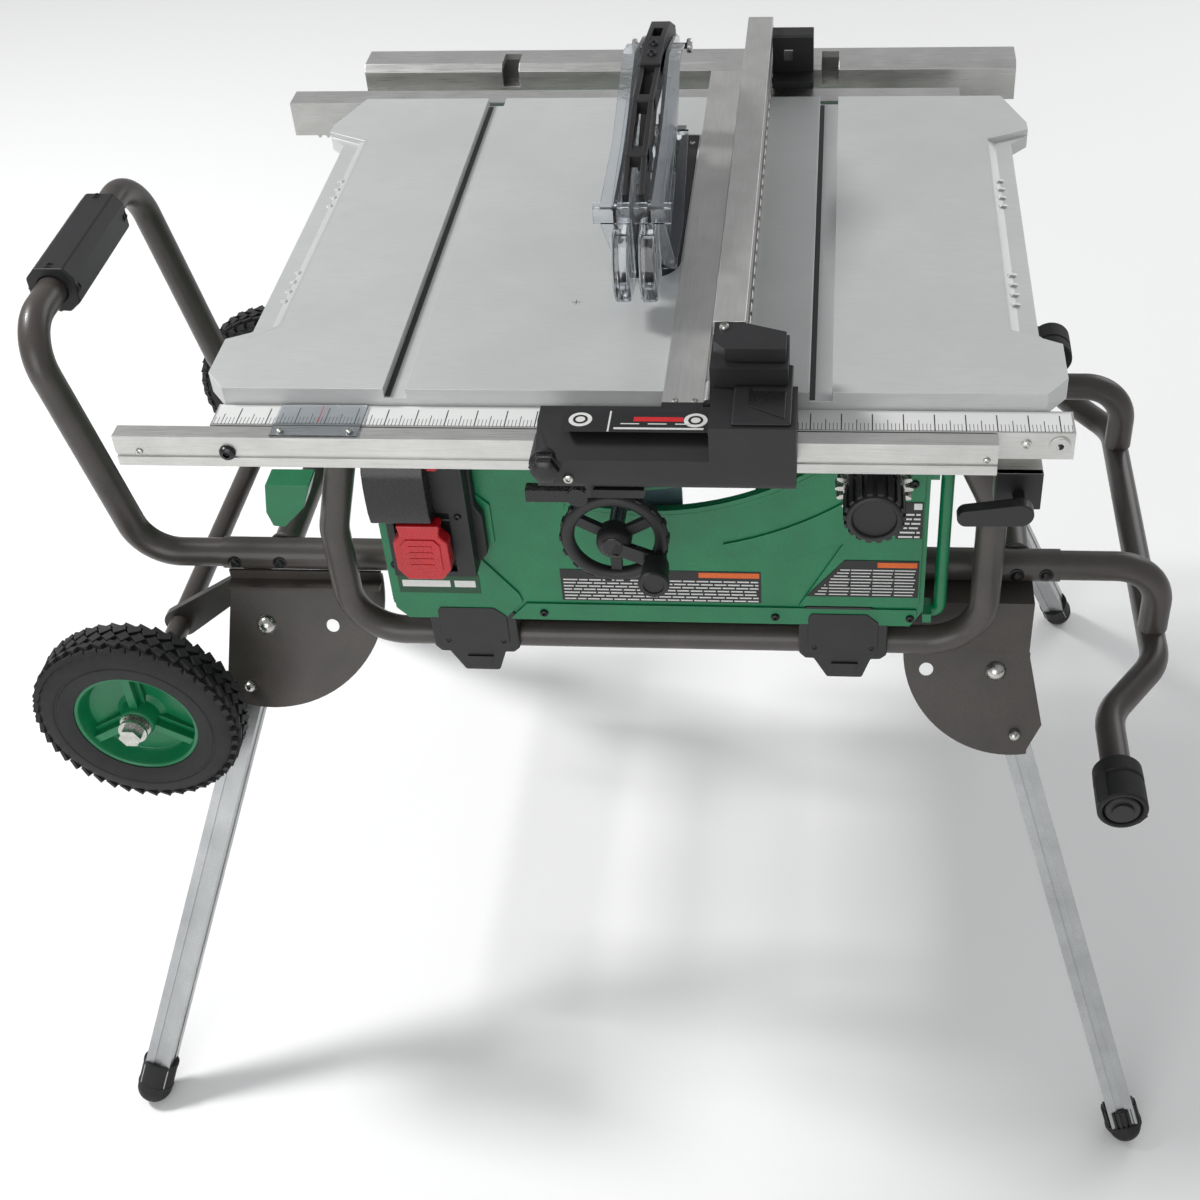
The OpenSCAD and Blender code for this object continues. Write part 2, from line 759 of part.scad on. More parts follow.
module scale_tape() {
    color("white") placed() block([-350, guide_y + 2, guide_top], [366, -2, guide_top + 0.6]);
}

// Rack teeth hanging below z, from x0 for n teeth
module rack(x0, n, y0, y1) {
    p = PI * gear_m;
    a = gear_m * tan(20);
    for (i = [0:n - 1])
        translate([x0 + i * p, y1, rack_pitch]) rotate([90, 0, 0]) linear_extrude(y1 - y0)
            polygon([[-p / 4 - 1.25 * a + 0.1, 1.25 * gear_m], [p / 4 + 1.25 * a - 0.1, 1.25 * gear_m],
                [p / 4 - a - 0.1, -gear_m], [-p / 4 + a + 0.1, -gear_m]]);
}

rack_n = floor((slide_l - 20) / (PI * gear_m));
// The tooth space nearest the pinion sits exactly over it
rack_x0 = pinion_x + PI * gear_m / 2 - PI * gear_m * floor((pinion_x + slide_left - 10) / (PI * gear_m));

module front_slide_rail() {
    low = slide_top - slide_h;
    color(extrusion) placed() difference() {
        union() {
            block([-slide_left, slide_y, low], [-slide_left + slide_l, slide_y + slide_t - 1, slide_top]);
            block([-slide_left, slide_y + 8, rack_top], [-slide_left + slide_l, -6, low]);
            rack(rack_x0, rack_n, -22, -8);
        }
        // long grooves of the extrusion
        block([-500, slide_y - 1, low + 9], [500, slide_y + 1.6, low + 13]);
        block([-500, slide_y + 4, low + 4], [500, slide_y + 12, slide_top - 4]);
    }
}

module rear_slide_rail() {
    color(extrusion) placed() difference() {
        union() {
            block([-slide_left - 4, rear_y, rack_top], [-slide_left - 4 + slide_l, rear_y + rear_t, table_h - 12]);
            rack(rack_x0, rack_n, rear_y + 8, rear_y + 22);
        }
        block([-500, rear_y + 4, rack_top + 4], [500, rear_y + rear_t - 4, table_h - 16]);
        block([-500, rear_y + rear_t - 5, table_h - 40], [500, rear_y + rear_t + 1, table_h - 28]);
    }
}

fence_y = [18, rear_y + rear_t + 30];

module fence_beam() {
    wall = 3;
    z = table_h + 1;
    color(extrusion) placed() difference() {
        block([rip_x, fence_y[0], z], [rip_x + fence_w, fence_y[1], z + fence_h]);
        block([rip_x + wall, fence_y[0] - 1, z + wall], [rip_x + fence_w - wall, fence_y[1] + 1, z + fence_h - wall]);
        block([rip_x + fence_w - wall - 1, fence_y[0] - 1, z + 12], [rip_x + fence_w + 1, fence_y[1] + 1, z + fence_h - 22]);
    }
}

head_x = [-66, 143];
head_y = -90;

module fence_head() {
    z = table_h;
    clip = slide_top;
    color(black) placed() difference() {
        union() {
            // bar in front of the rail
            translate([head_x[0], 0, 0]) rotate([90, 0, 90]) linear_extrude(head_x[1] - head_x[0])
                polygon([[slide_y - 3, z - 34], [head_y + 3, z - 34], [head_y, z - 28], [head_y, z - 6],
                    [-60, z + 12], [-40, z + 12], [-40, clip], [slide_y - 3, clip]]);
            // arm over the rail to the beam
            block([rip_x + 2, head_y, z - 10], [head_x[1], -30, z + 26]);
            block([rip_x, -32, z + 1], [head_x[1] - 8, fence_y[0], z + 44]);
            translate([0, 0, z + 40]) linear_extrude(16) polygon([[rip_x + 2, 17], [rip_x + 2, -10],
                [rip_x + 12, -22], [head_x[1] - 10, -22], [head_x[1] - 10, 4], [rip_x + fence_w, 17]]);
            // latch roller boss
            rod_y(head_x[0] + 8, head_y + 4, slide_y - 2, z - 14, 14);
        }
        rod_z(latch_pivot.x, latch_pivot.y, z - 40, z - 16, 4.5 + run_fit);
    }
}

module fence_rear_bracket() {
    x = [rip_x + fence_w, rip_x + fence_w + 44];
    y = [rear_y + rear_t, rear_y + rear_t + 26];
    z = table_h;
    color(black) placed() difference() {
        union() {
            block([x[0], y[0], z - 34], [x[1], y[0] + 5, z + 46]);
            for (i = [0:3]) block([x[0], y[0] + 4, z - 34 + i * 25.5], [x[1], y[1], z - 30 + i * 25.5]);
            for (i = [0:2]) block([x[0] + i * 20, y[0] + 4, z - 34], [x[0] + 4 + i * 20, y[1], z + 46]);
            block([x[0], rear_y + 2, table_h + 2], [x[1], y[0] + 2, z + 8]);
        }
        translate([x[0] + 12, y[0] - 1, z + 20]) cube([10, 40, 12]);
    }
}

shelf_pivot = [rip_x - 3.5, table_h + 4];

module fence_shelf() {
    color(extrusion) placed() {
        block([rip_x - 41, -24, table_h + 1], [rip_x - 7, fence_y[1] - 20, table_h + 5]);
        for (y = [-22, 280, fence_y[1] - 50]) rod_y(shelf_pivot.x, y, y + 28, shelf_pivot.y, 3);
        for (y = [-22, 280, fence_y[1] - 50]) block([rip_x - 8, y, table_h + 1.5], [shelf_pivot.x, y + 28, table_h + 4.5]);
    }
}

latch_pivot = [head_x[0] + 42, head_y + 6];

module fence_latch() {
    z = table_h - 31;
    color(black) placed() {
        rod_z(latch_pivot.x, latch_pivot.y, z - 14, z + 13, 4.5);
        block([latch_pivot.x - 4, latch_pivot.y - 4, z - 14], [latch_pivot.x + 44, latch_pivot.y + 4, z - 6]);
    }
}

module rod_z(x, y, z0, z1, r) {
    translate([x, y, z0]) cylinder(h = z1 - z0, r = r);
}

// Spur pinion with straight-sided teeth, centred on the origin along Z
module pinion(width) {
    tip = pitch_r + gear_m;
    root = pitch_r - 1.25 * gear_m;
    half = 90 / pinion_n;
    linear_extrude(width) union() {
        circle(root, $fn = 96);
        for (i = [0:pinion_n - 1]) rotate(i * 360 / pinion_n)
            polygon([[root - 1, -root * tan(half) * 1.1], [pitch_r, -pitch_r * tan(half) + 0.25],
                [tip, -tip * tan(half) * 0.42], [tip, tip * tan(half) * 0.42],
                [pitch_r, pitch_r * tan(half) - 0.25], [root - 1, root * tan(half) * 1.1]]);
    }
}

module pinion_shaft() {
    color("silver") placed() {
        rod_y(pinion_x, -40, rear_y + 26, pinion_z, shaft_r);
        for (y = [-9, rear_y + 21]) translate([pinion_x, y, pinion_z]) rotate([90, 0, 0]) rotate(90) pinion(12);
    }
}

module rip_knob() {
    color(black) placed() translate([pinion_x, -28, pinion_z]) rotate([90, 0, 0]) difference() {
        union() {
            cylinder(h = 34, r = 26);
            translate([0, 0, 33]) cylinder(h = 3, r = 23);
        }
        for (a = [0:20:340]) rotate(a) translate([27.6, 0, 5]) cylinder(h = 40, r = 3);
        translate([0, 0, -1]) cylinder(h = 13.5, r = shaft_r);
    }
}

module rail_lock_lever() {
    color(black) placed() {
        rod_y(lever_x, -47, guide_y + 16, lever_z, 5);
        rod_y(lever_x, guide_y + 11, guide_y + 16, lever_z, 8);
        translate([lever_x, -46, lever_z]) rotate([90, 0, 0]) linear_extrude(12) hull() {
            circle(11);
            translate([-44, -4]) circle(8);
        }
    }
}

outfeed_y = rear_y + rear_t + 39;

module outfeed_support() {
    color(extrusion) placed() {
        difference() {
            translate([-half_w, 0, 0]) rotate([90, 0, 90]) linear_extrude(table_w) polygon([[outfeed_y, table_h - 8],
                [outfeed_y + 8, table_h - 1], [outfeed_y + 42, table_h - 1], [outfeed_y + 48, table_h - 8],
                [outfeed_y + 48, table_h - 44], [outfeed_y, table_h - 44]]);
            block([-400, outfeed_y + 4, table_h - 40], [400, outfeed_y + 44, table_h - 9]);
            for (x = [-slot_left, slot_right]) block([x - slot_w / 2, outfeed_y - 1, table_h - 26],
                [x + slot_w / 2, outfeed_y + 34, table_h + 1]);
        }
        for (s = [-1, 1]) {
            rod_y(s * arm_x, blade_y + 56, outfeed_y + 14, arm_z, arm_r);
            block([s * arm_x - 14, outfeed_y + 4, arm_z - 12], [s * arm_x + 14, outfeed_y + 14, table_h - 42]);
        }
    }
}

// ---- Blade carriage ----

module bevel_cradle() {
    y0 = house_y[0] + 20;
    y1 = house_y[1] - 16;
    z = bevel_z;
    color("dimgray") placed() {
        for (y = [y0, y1]) translate([0, y, 0]) rotate([90, 0, 0]) linear_extrude(7) difference() {
            intersection() {
                translate([0, z]) circle(168, $fn = 128);
                polygon([[-66, z - 168], [-66, z - 12], [-27, z - 12], [-10, z - 30], [y == y0 ? 16 : -17, z - 40],
                    [y == y0 ? 36 : -17, z - 60], [y == y0 ? 36 : -17, z - 168]]);
            }
            if (y == y0) translate([crank_x, crank_z]) circle(crank_r + run_fit);
            if (y == y0) translate(lock_at) circle(5 + run_fit);
        }
        for (h = [beam_low, z - 24]) block([column_x - 17, y0 - 2, h], [column_x + 17, y1 - 2, h + 12]);
        for (y = [y0, y1]) block([column_x - 17, y - 7, beam_low], [column_x + 17, y, z - 76]);
        for (y = column_y) rod_z(column_x, y, beam_low + 6, z - 18, column_r);
        // foot bearing of the lift screw
        block([column_x, screw_y - 14, beam_low + 2], [crank_x + 13, screw_y + 14, beam_low + 12]);
    }
}

module arbor_block() {
    x0 = -74;
    x1 = -14;
    color("gray") placed() difference() {
        union() {
            block([x0, column_y[0] - 20, arbor_z - block_low], [x1, column_y[1] + 20, arbor_z + block_top]);
            // nut of the lift screw
            block([-34, screw_y - 11, arbor_z], [-4, column_y[0], arbor_z + block_top]);
        }
        for (y = column_y) rod_z(column_x, y, table_h - 400, table_h, column_r + run_fit);
        rod_x(-100, 0, blade_y, arbor_z, 12 + run_fit);
        rod_z(crank_x, screw_y, table_h - 400, table_h, 5 + run_fit);
    }
}

module motor() {
    x1 = -74;
    drop = 24;
    color(black) placed() {
        rod_x(-205, x1, blade_y, arbor_z - drop, 46);
        rod_x(-218, -204, blade_y, arbor_z - drop, 40);
        block([-160, blade_y - 36, arbor_z - drop - 56], [-90, blade_y + 36, arbor_z - drop - 20]);
    }
}

// The motor's shaft carries the arbor through its bearing sleeve
module arbor() {
    color("silver") placed() {
        rod_x(-73, -2, blade_y, arbor_z, 12);
        rod_x(-3, 18, blade_y, arbor_z, arbor_d / 2);
        rod_x(-12, -blade_t / 2, blade_y, arbor_z, 22);
        rod_x(blade_t / 2, 6, blade_y, arbor_z, 22);
        translate([6, blade_y, arbor_z]) rotate([0, 90, 0]) cylinder(h = 9, r = 13, $fn = 6);
    }
}

teeth_n = 24;

module blade() {
    r = blade_d / 2;
    gullet = 9;
    color("lightgray") placed() translate([-blade_t / 2, blade_y, arbor_z]) rotate([0, 90, 0])
        linear_extrude(blade_t) difference() {
            union() {
                circle(r - gullet, $fn = 120);
                for (i = [0:teeth_n - 1]) rotate(i * 360 / teeth_n)
                    polygon([[r - gullet - 4, -7], [r, -0.5], [r, 2], [r - gullet - 3, 9]]);
            }
            circle(arbor_d / 2 + run_fit);
        }
}

// Curved knife close behind the blade, with an arm back to the arbor block
knife_r = [blade_d / 2 + 5, blade_d / 2 + 28];
knife_t = 2;
link_pivot = [blade_y + 85, table_h + cut_h + 41];

module knife_plane() {
    translate([0, blade_y, arbor_z]) rotate([90, 0, 90]) children();
}

module riving_knife() {
    top = cut_h + 30 - (arbor_z - table_h);
    color("silver") placed() {
        knife_plane() translate([0, 0, -knife_t / 2]) linear_extrude(knife_t) {
            intersection() {
                difference() {
                    circle(knife_r[1], $fn = 120);
                    circle(knife_r[0], $fn = 120);
                }
                polygon([[60, -34], [260, -34], [260, 66], [60, 66]]);
            }
            polygon([[knife_r[0] * cos(30), 64], [102, 108], [104, top], [136, top], [142, 64]]);
        }
        block([-14, blade_y + 92, arbor_z - 34], [-3, blade_y + 150, arbor_z - 14]);
        block([-14, blade_y + 131, arbor_z - 34], [knife_t / 2, blade_y + 150, arbor_z - 14]);
    }
}

carrier_t = 9;

// Spine over the blade, opened out into two bars round the knife
module guard_carrier() {
    y = blade_y;
    z = table_h + cut_h;
    color(black) placed() difference() {
        intersection() {
            translate([-carrier_t, 0, 0]) rotate([90, 0, 90]) linear_extrude(2 * carrier_t)
                polygon([[y - 125, z + 16], [y - 128, z + 24], [y - 100, z + 38], [y - 20, z + 70], [y + 24, z + 75],
                    [y + 84, z + 66], [y + 132, z + 42], [y + 140, z + 18], [y + 96, z + 16], [y + 40, z + 42],
                    [y - 10, z + 46], [y - 70, z + 22]]);
            translate([0, 0, z]) linear_extrude(90) polygon([[-5, y - 130], [5, y - 130], [5.5, y - 40], [9, y - 14],
                [9, y + 142], [-9, y + 142], [-9, y - 14], [-5.5, y - 40]]);
        }
        translate([0, 0, z]) linear_extrude(100) polygon([[0, y - 32], [4.5, y - 10], [4.5, y + 60], [-4.5, y + 60],
            [-4.5, y - 10]]);
        // slot that takes the top of the knife
        block([-knife_t / 2 - 0.1, y + 96, z - 10], [knife_t / 2 + 0.1, y + 137, z + 31]);
        rod_x(-20, 20, link_pivot.x, link_pivot.y, 3 + run_fit);
    }
}

// Forked arms that swing on the carrier's pin and carry both side guards
module guard_link() {
    p = link_pivot;
    color(black) placed() {
        rod_x(-24, 24, p.x, p.y, 3);
        for (s = [-1, 1]) scale_side(s) translate([carrier_t + 0.6, 0, 0]) rotate([90, 0, 90]) linear_extrude(2.4)
            polygon([[p.x + 7, p.y - 5], [p.x + 6, p.y + 7], [p.x - 60, p.y + 8], [p.x - 66, p.y - 6]]);
    }
}

guard_x = 13;
guard_t = 3;

module guard_outline(g) {
    y = blade_y;
    z = table_h;
    offset(delta = -g) polygon([[y - 226, z + 98], [y - 225, z + 113], [y - 116, z + 120], [y - 8, z + 154],
        [y + 60, z + 140], [y + 96, z + 126], [y + 100, z + 106], [y + 40, z + 62], [y - 66, z + 9],
        [y - 142, z + 6]]);
}

// Clear side guard: a wedge from the pivot down to the table at the front
module side_guard() {
    y = blade_y;
    z = table_h;
    difference() {
        union() {
            translate([guard_x, 0, 0]) rotate([90, 0, 90]) linear_extrude(guard_t) guard_outline(0);
            // rim that stands out round the front half
            translate([guard_x, 0, 0]) rotate([90, 0, 90]) linear_extrude(14) difference() {
                guard_outline(0);
                guard_outline(2.4);
                translate([y + 30, z]) square(300);
            }
            // ear on the nose
            block([guard_x - 11, y - 226, z + 98], [guard_x + 20, y - 223, z + 113]);
            block([guard_x - 11, y - 226, z + 111], [guard_x + 20, y - 216, z + 113]);
        }
        rod_x(0, 40, link_pivot.x, link_pivot.y, 3 + run_fit);
    }
}

module guard_left() { color("lightblue", 0.4) placed() mirror([1, 0, 0]) side_guard(); }
module guard_right() { color("lightblue", 0.4) placed() side_guard(); }

// ---- Controls ----

wheel_rad = 47;
wheel_front = -44;

module handwheel() {
    inner = screw_y - 14;
    color(black) placed() translate([crank_x, 0, crank_z]) rotate([90, 0, 0]) {
        translate([0, 0, -inner]) cylinder(h = inner - wheel_front - 10, r = crank_r);
        // bevel gear at the inner end
        translate([0, 0, -inner]) cylinder(h = 10, r1 = 8, r2 = 12);
        translate([0, 0, -wheel_front - 12]) {
            difference() {
                cylinder(h = 14, r = wheel_rad);
                translate([0, 0, -1]) cylinder(h = 16, r = wheel_rad - 9);
            }
            cylinder(h = 20, r = 15);
            for (a = [30, 150, 270]) rotate(a) translate([10, -5, 2]) cube([wheel_rad - 14, 10, 7]);
            // crank arm across the wheel
            translate([0, 0, 14]) linear_extrude(8) hull() {
                circle(11);
                translate([37, -16]) circle(9);
            }
            translate([37, -16, 20]) cylinder(h = 26, r = 4);
        }
    }
}

module crank_knob() {
    color(black) placed() translate([crank_x + 37, wheel_front - 10.5, crank_z - 16]) rotate([90, 0, 0])
        difference() {
            union() {
                cylinder(h = 30, r = 12);
                translate([0, 0, 24]) cylinder(h = 6, r = 14);
            }
            translate([0, 0, -1]) cylinder(h = 32, r = 4 + run_fit);
        }
}

module lift_screw() {
    color("silver") placed() {
        rod_z(crank_x, screw_y, beam_low + 12.5, table_h - 30, 5);
        translate([crank_x, screw_y, crank_z - 22]) cylinder(h = 9, r1 = 12, r2 = 8);
    }
}

lock_at = [crank_x - 25, crank_z + 59];

module bevel_lock_lever() {
    color(black) placed() {
        rod_y(lock_at.x, wheel_front - 6, house_y[0] + 24, lock_at.y, 5);
        rod_y(lock_at.x, wheel_front - 18, wheel_front - 4, lock_at.y, 9);
        block([lock_at.x - 44, wheel_front - 16, lock_at.y - 6], [lock_at.x, wheel_front - 5, lock_at.y + 6]);
    }
}

stand_frame();
pull_handle();
handle_grip();
end_loop();
loop_caps();
leg_plates();
leg_front_left();
leg_rear_left();
leg_front_right();
leg_rear_right();
foot_front_left();
foot_rear_left();
levelling_foot();
foot_rear_right();
leg_pivot_bolts();
lock_button_front_left();
lock_button_rear_left();
lock_button_front_right();
lock_button_rear_right();
axle_brackets();
axle();
rim_front();
tyre_front();
rim_rear();
tyre_rear();
saw_clamps();
base_cage();
housing();
table();
throat_plate();
front_guide_rail();
scale_tape();
front_slide_rail();
rear_slide_rail();
fence_beam();
fence_head();
fence_rear_bracket();
fence_shelf();
fence_latch();
pinion_shaft();
rip_knob();
rail_lock_lever();
outfeed_support();
bevel_cradle();
arbor_block();
motor();
arbor();
blade();
riving_knife();
guard_carrier();
guard_link();
guard_left();
guard_right();
handwheel();
crank_knob();
lift_screw();
bevel_lock_lever();
switch_box();
switch_paddle();
side_hook();
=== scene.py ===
import math

import bmesh
import bpy
from mathutils import Matrix, Vector


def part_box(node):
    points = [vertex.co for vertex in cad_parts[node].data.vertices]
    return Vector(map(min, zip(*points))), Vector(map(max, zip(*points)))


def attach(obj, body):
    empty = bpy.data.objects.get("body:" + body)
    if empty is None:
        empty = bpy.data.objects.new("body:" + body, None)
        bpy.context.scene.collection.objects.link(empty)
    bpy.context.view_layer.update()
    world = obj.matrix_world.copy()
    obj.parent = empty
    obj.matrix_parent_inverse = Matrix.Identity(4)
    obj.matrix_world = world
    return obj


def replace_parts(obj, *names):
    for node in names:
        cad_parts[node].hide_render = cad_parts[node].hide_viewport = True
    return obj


scene = bpy.context.scene


def camera_turn(pitch, heading, roll):
    """Columns of a camera that looks down by pitch, swung by heading, tipped by roll."""
    p, h, r = (math.radians(a) for a in (pitch, heading, roll))
    look = Vector((math.sin(h) * math.cos(p), math.cos(h) * math.cos(p), -math.sin(p)))
    side = Vector((math.cos(h), -math.sin(h), 0))
    up = side.cross(look)
    right = side * math.cos(r) + up * math.sin(r)
    top = up * math.cos(r) - side * math.sin(r)
    return Matrix((right, top, -look)).transposed()


lens = bpy.data.cameras.new("camera")
lens.sensor_width = 36
lens.lens = 52.32
lens.shift_x = -0.0767
lens.shift_y = -0.0142
camera = bpy.data.objects.new("camera", lens)
camera.matrix_world = Matrix.Translation((0.2211, -1.4706, 1.6645)) @ camera_turn(40.33, -6.05,
        -2.95).to_4x4()
scene.collection.objects.link(camera)
scene.camera = camera

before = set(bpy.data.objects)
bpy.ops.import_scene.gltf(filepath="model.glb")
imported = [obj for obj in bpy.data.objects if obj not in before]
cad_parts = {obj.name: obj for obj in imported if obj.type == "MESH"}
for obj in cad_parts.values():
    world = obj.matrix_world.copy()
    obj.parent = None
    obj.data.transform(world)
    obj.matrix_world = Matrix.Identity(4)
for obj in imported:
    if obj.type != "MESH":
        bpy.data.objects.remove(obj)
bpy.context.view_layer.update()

table_lo, table_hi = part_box("table")
DATUM = Vector(((table_lo.x + table_hi.x) / 2, table_lo.y, table_hi.z))
X, Y, Z = Vector((1, 0, 0)), Vector((0, 1, 0)), Vector((0, 0, 1))


def at(x, y, z):
    """Millimetres from the front middle of the table's top: right, back and up."""
    return DATUM + Vector((x, y, z)) / 1000


def middle(node):
    lo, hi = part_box(node)
    return (lo + hi) / 2


# ---- Materials ----

def linear(code):
    """A linear colour from an sRGB hex value."""
    parts = [int(code[i:i + 2], 16) / 255 for i in (1, 3, 5)]
    return [c / 12.92 if c <= 0.04045 else ((c + 0.055) / 1.055) ** 2.4 for c in parts] + [1.0]


def add(tree, kind, inputs=(), links=(), **settings):
    """Adds a node, with its settings, its socket values and what is plugged into it."""
    node = tree.nodes.new(kind)
    for name, value in settings.items():
        setattr(node, name, value)
    for socket, value in dict(inputs).items():
        node.inputs[socket].default_value = value
    for socket, source in dict(links).items():
        tree.links.new(source, node.inputs[socket])
    return node


def surface(name, colour, **sockets):
    """A material with its shader, and its sockets set to the same value all over."""
    material = bpy.data.materials.new(name)
    material.use_nodes = True
    tree = material.node_tree
    shader = tree.nodes["Principled BSDF"]
    shader.inputs["Base Color"].default_value = linear(colour)
    for socket, value in sockets.items():
        shader.inputs[socket.replace("_", " ")].default_value = value
    material.diffuse_color = linear(colour)
    return material, tree, shader


def textured(name, light, dark, grain, depth, rough, blotch=40, stretch=(1, 1, 1), turn=(0, 0, 0),
             **sockets):
    """A finish whose colour drifts between two shades, with a grain in its bump and gloss.

    The grain and the blotches are in millimetres.
    """
    material, tree, shader = surface(name, light, Roughness=rough[0], **sockets)
    place = add(tree, "ShaderNodeTexCoord")
    spun = add(tree, "ShaderNodeMapping", links={"Vector": place.outputs["Object"]},
               inputs={"Rotation": turn})
    drawn = add(tree, "ShaderNodeMapping", links={"Vector": spun.outputs["Vector"]},
                inputs={"Scale": stretch})
    broad = add(tree, "ShaderNodeTexNoise", links={"Vector": place.outputs["Object"]},
                inputs={"Scale": 1000 / blotch, "Detail": 4})
    fine = add(tree, "ShaderNodeTexNoise", links={"Vector": drawn.outputs["Vector"]},
               inputs={"Scale": 1000 / grain, "Detail": 2})
    mixed = add(tree, "ShaderNodeMath", links={0: broad.outputs["Fac"], 1: fine.outputs["Fac"]},
                operation="MULTIPLY")
    tint = add(tree, "ShaderNodeMapRange", links={"Value": mixed.outputs[0]},
               inputs={"From Min": 0.12, "From Max": 0.4})
    shade = add(tree, "ShaderNodeMix", links={"Factor": tint.outputs[0]}, data_type="RGBA")
    shade.inputs[6].default_value = linear(dark)
    shade.inputs[7].default_value = linear(light)
    gloss = add(tree, "ShaderNodeMapRange", links={"Value": fine.outputs["Fac"]},
                inputs={"From Min": 0.3, "From Max": 0.7, "To Min": rough[0], "To Max": rough[1]})
    bump = add(tree, "ShaderNodeBump", links={"Height": fine.outputs["Fac"]},
               inputs={"Strength": 0.5, "Distance": depth / 1000})
    tree.links.new(shade.outputs[2], shader.inputs["Base Color"])
    tree.links.new(gloss.outputs[0], shader.inputs["Roughness"])
    tree.links.new(bump.outputs[0], shader.inputs["Normal"])
    return material


# Powder coat on steel tube: satin, with the orange peel of a sprayed coat, a millimetre across
powder_coat = textured("powder_coated_steel", "#4a4542", "#3b3734", 1.0, 0.05, (0.32, 0.42), Coat_Weight=0.1)
# The same coat on flat sheet, which takes it a little thicker and smoother
sheet_coat = textured("powder_coated_sheet", "#4a4541", "#3a3633", 1.4, 0.06, (0.4, 0.5))
# Die-cast aluminium, ground flat and clear coated: even and satin, with faint grinding lines across it
table_alloy = textured("ground_cast_aluminium", "#cccdcc", "#c2c4c3", 0.9, 0.012, (0.36, 0.46), blotch=120,
                       stretch=(0.04, 1, 1), Metallic=0.35)
# Clear anodised extrusion: fine die lines along the bar
anodised = textured("anodised_aluminium", "#d2d2cf", "#c0c0bd", 0.7, 0.02, (0.26, 0.4), stretch=(0.02, 1, 1),
                    Metallic=0.85)
fence_metal = textured("anodised_fence_beam", "#d3d2cf", "#c2c1be", 0.7, 0.02, (0.28, 0.42),
                       stretch=(1, 0.02, 1),
                       Metallic=0.8)
# Glass-filled nylon: near black, with a fine moulded grain that breaks up the gloss
nylon = textured("moulded_nylon", "#1d1d1f", "#121213", 0.8, 0.06, (0.42, 0.58))
smooth_nylon = textured("polished_nylon", "#19191a", "#111112", 1.6, 0.02, (0.22, 0.32))
# Soft moulded rubber: dull and slightly dusty
rubber = textured("moulded_rubber", "#1c1c1c", "#111111", 1.2, 0.08, (0.62, 0.8))
tyre_rubber = textured("tyre_rubber", "#1f1f20", "#131314", 1.5, 0.1, (0.6, 0.78), blotch=25)
# ABS coloured through: a deep green with the sheen of a moulding
green_abs = textured("moulded_green_abs", "#00774a", "#00663e", 1.1, 0.03, (0.3, 0.4), Coat_Weight=0.15)
badge_green = textured("green_film_label", "#0a4a2a", "#063d21", 2.5, 0.01, (0.4, 0.5))
rim_green = textured("moulded_green_rim", "#0b7a4b", "#07673f", 1.1, 0.03, (0.28, 0.38))
red_abs = textured("moulded_red_abs", "#c4121f", "#a90d18", 1.0, 0.03, (0.24, 0.34), Coat_Weight=0.2)
# Zinc plate: bright, with a soft crystal mottle
zinc = textured("zinc_plate", "#cfcfca", "#b3b3ae", 1.2, 0.01, (0.2, 0.34), blotch=6, Metallic=1.0)
dark_zinc = textured("black_zinc_plate", "#3a3a3a", "#2a2a2a", 1.2, 0.01, (0.3, 0.42), blotch=6,
                     Metallic=0.8)
# Black electro-coat over castings and pressings
black_coat = textured("black_electro_coat", "#202022", "#151516", 1.5, 0.05, (0.36, 0.5))
# Sand-cast aluminium left as it came from the mould
as_cast = textured("as_cast_aluminium", "#8f9192", "#737576", 1.8, 0.12, (0.48, 0.64), Metallic=0.75)
slate_paint = textured("slate_painted_casting", "#4a6468", "#3c5458", 1.4, 0.05, (0.4, 0.52))
# Paper and film labels
black_label = textured("black_film_label", "#18181a", "#101011", 2.5, 0.01, (0.4, 0.5))
white_label = textured("white_film_label", "#d8d9d6", "#cbccc9", 2.5, 0.01, (0.4, 0.5))
orange_label = textured("orange_film_label", "#d8621b", "#c95612", 2.5, 0.01, (0.4, 0.5))
red_label = textured("red_film_label", "#c81e22", "#b5181c", 2.5, 0.01, (0.4, 0.5))
yellow_label = textured("yellow_film_label", "#e0b21c", "#d0a312", 2.5, 0.01, (0.4, 0.5))
scale_film = textured("grey_printed_scale", "#a9b9c2", "#9bacb6", 2.5, 0.01, (0.35, 0.45))
white_nylon = textured("white_nylon", "#e2e2de", "#d4d4cf", 1.0, 0.02, (0.35, 0.45))


def drawn_aluminium(name, lean):
    """Mill-finish extrusion: dull silver, with die lines along the leg, which leans by these angles."""
    return textured(name, "#b9bbbc", "#9fa1a2", 0.8, 0.03, (0.34, 0.48), stretch=(1, 1, 0.02), turn=lean,
                    Metallic=0.8)


def ground_disc(name, centre):
    """Ground saw plate: bright steel with rings of grinding, drawn 1.5 mm apart so that they show."""
    material, tree, shader = surface(name, "#c2c3c4", Metallic=1.0, Roughness=0.3)
    place = add(tree, "ShaderNodeTexCoord")
    moved = add(tree, "ShaderNodeMapping", links={"Vector": place.outputs["Object"]},
                inputs={"Location": (0, -centre.y, -centre.z)})
    rings = add(tree, "ShaderNodeTexWave", links={"Vector": moved.outputs["Vector"]}, wave_type="RINGS",
                rings_direction="X", inputs={"Scale": 1000 / 1.5 / 20, "Distortion": 1.5, "Detail": 2})
    gloss = add(tree, "ShaderNodeMapRange", links={"Value": rings.outputs["Fac"]},
                inputs={"To Min": 0.22, "To Max": 0.4})
    tree.links.new(gloss.outputs[0], shader.inputs["Roughness"])
    return material


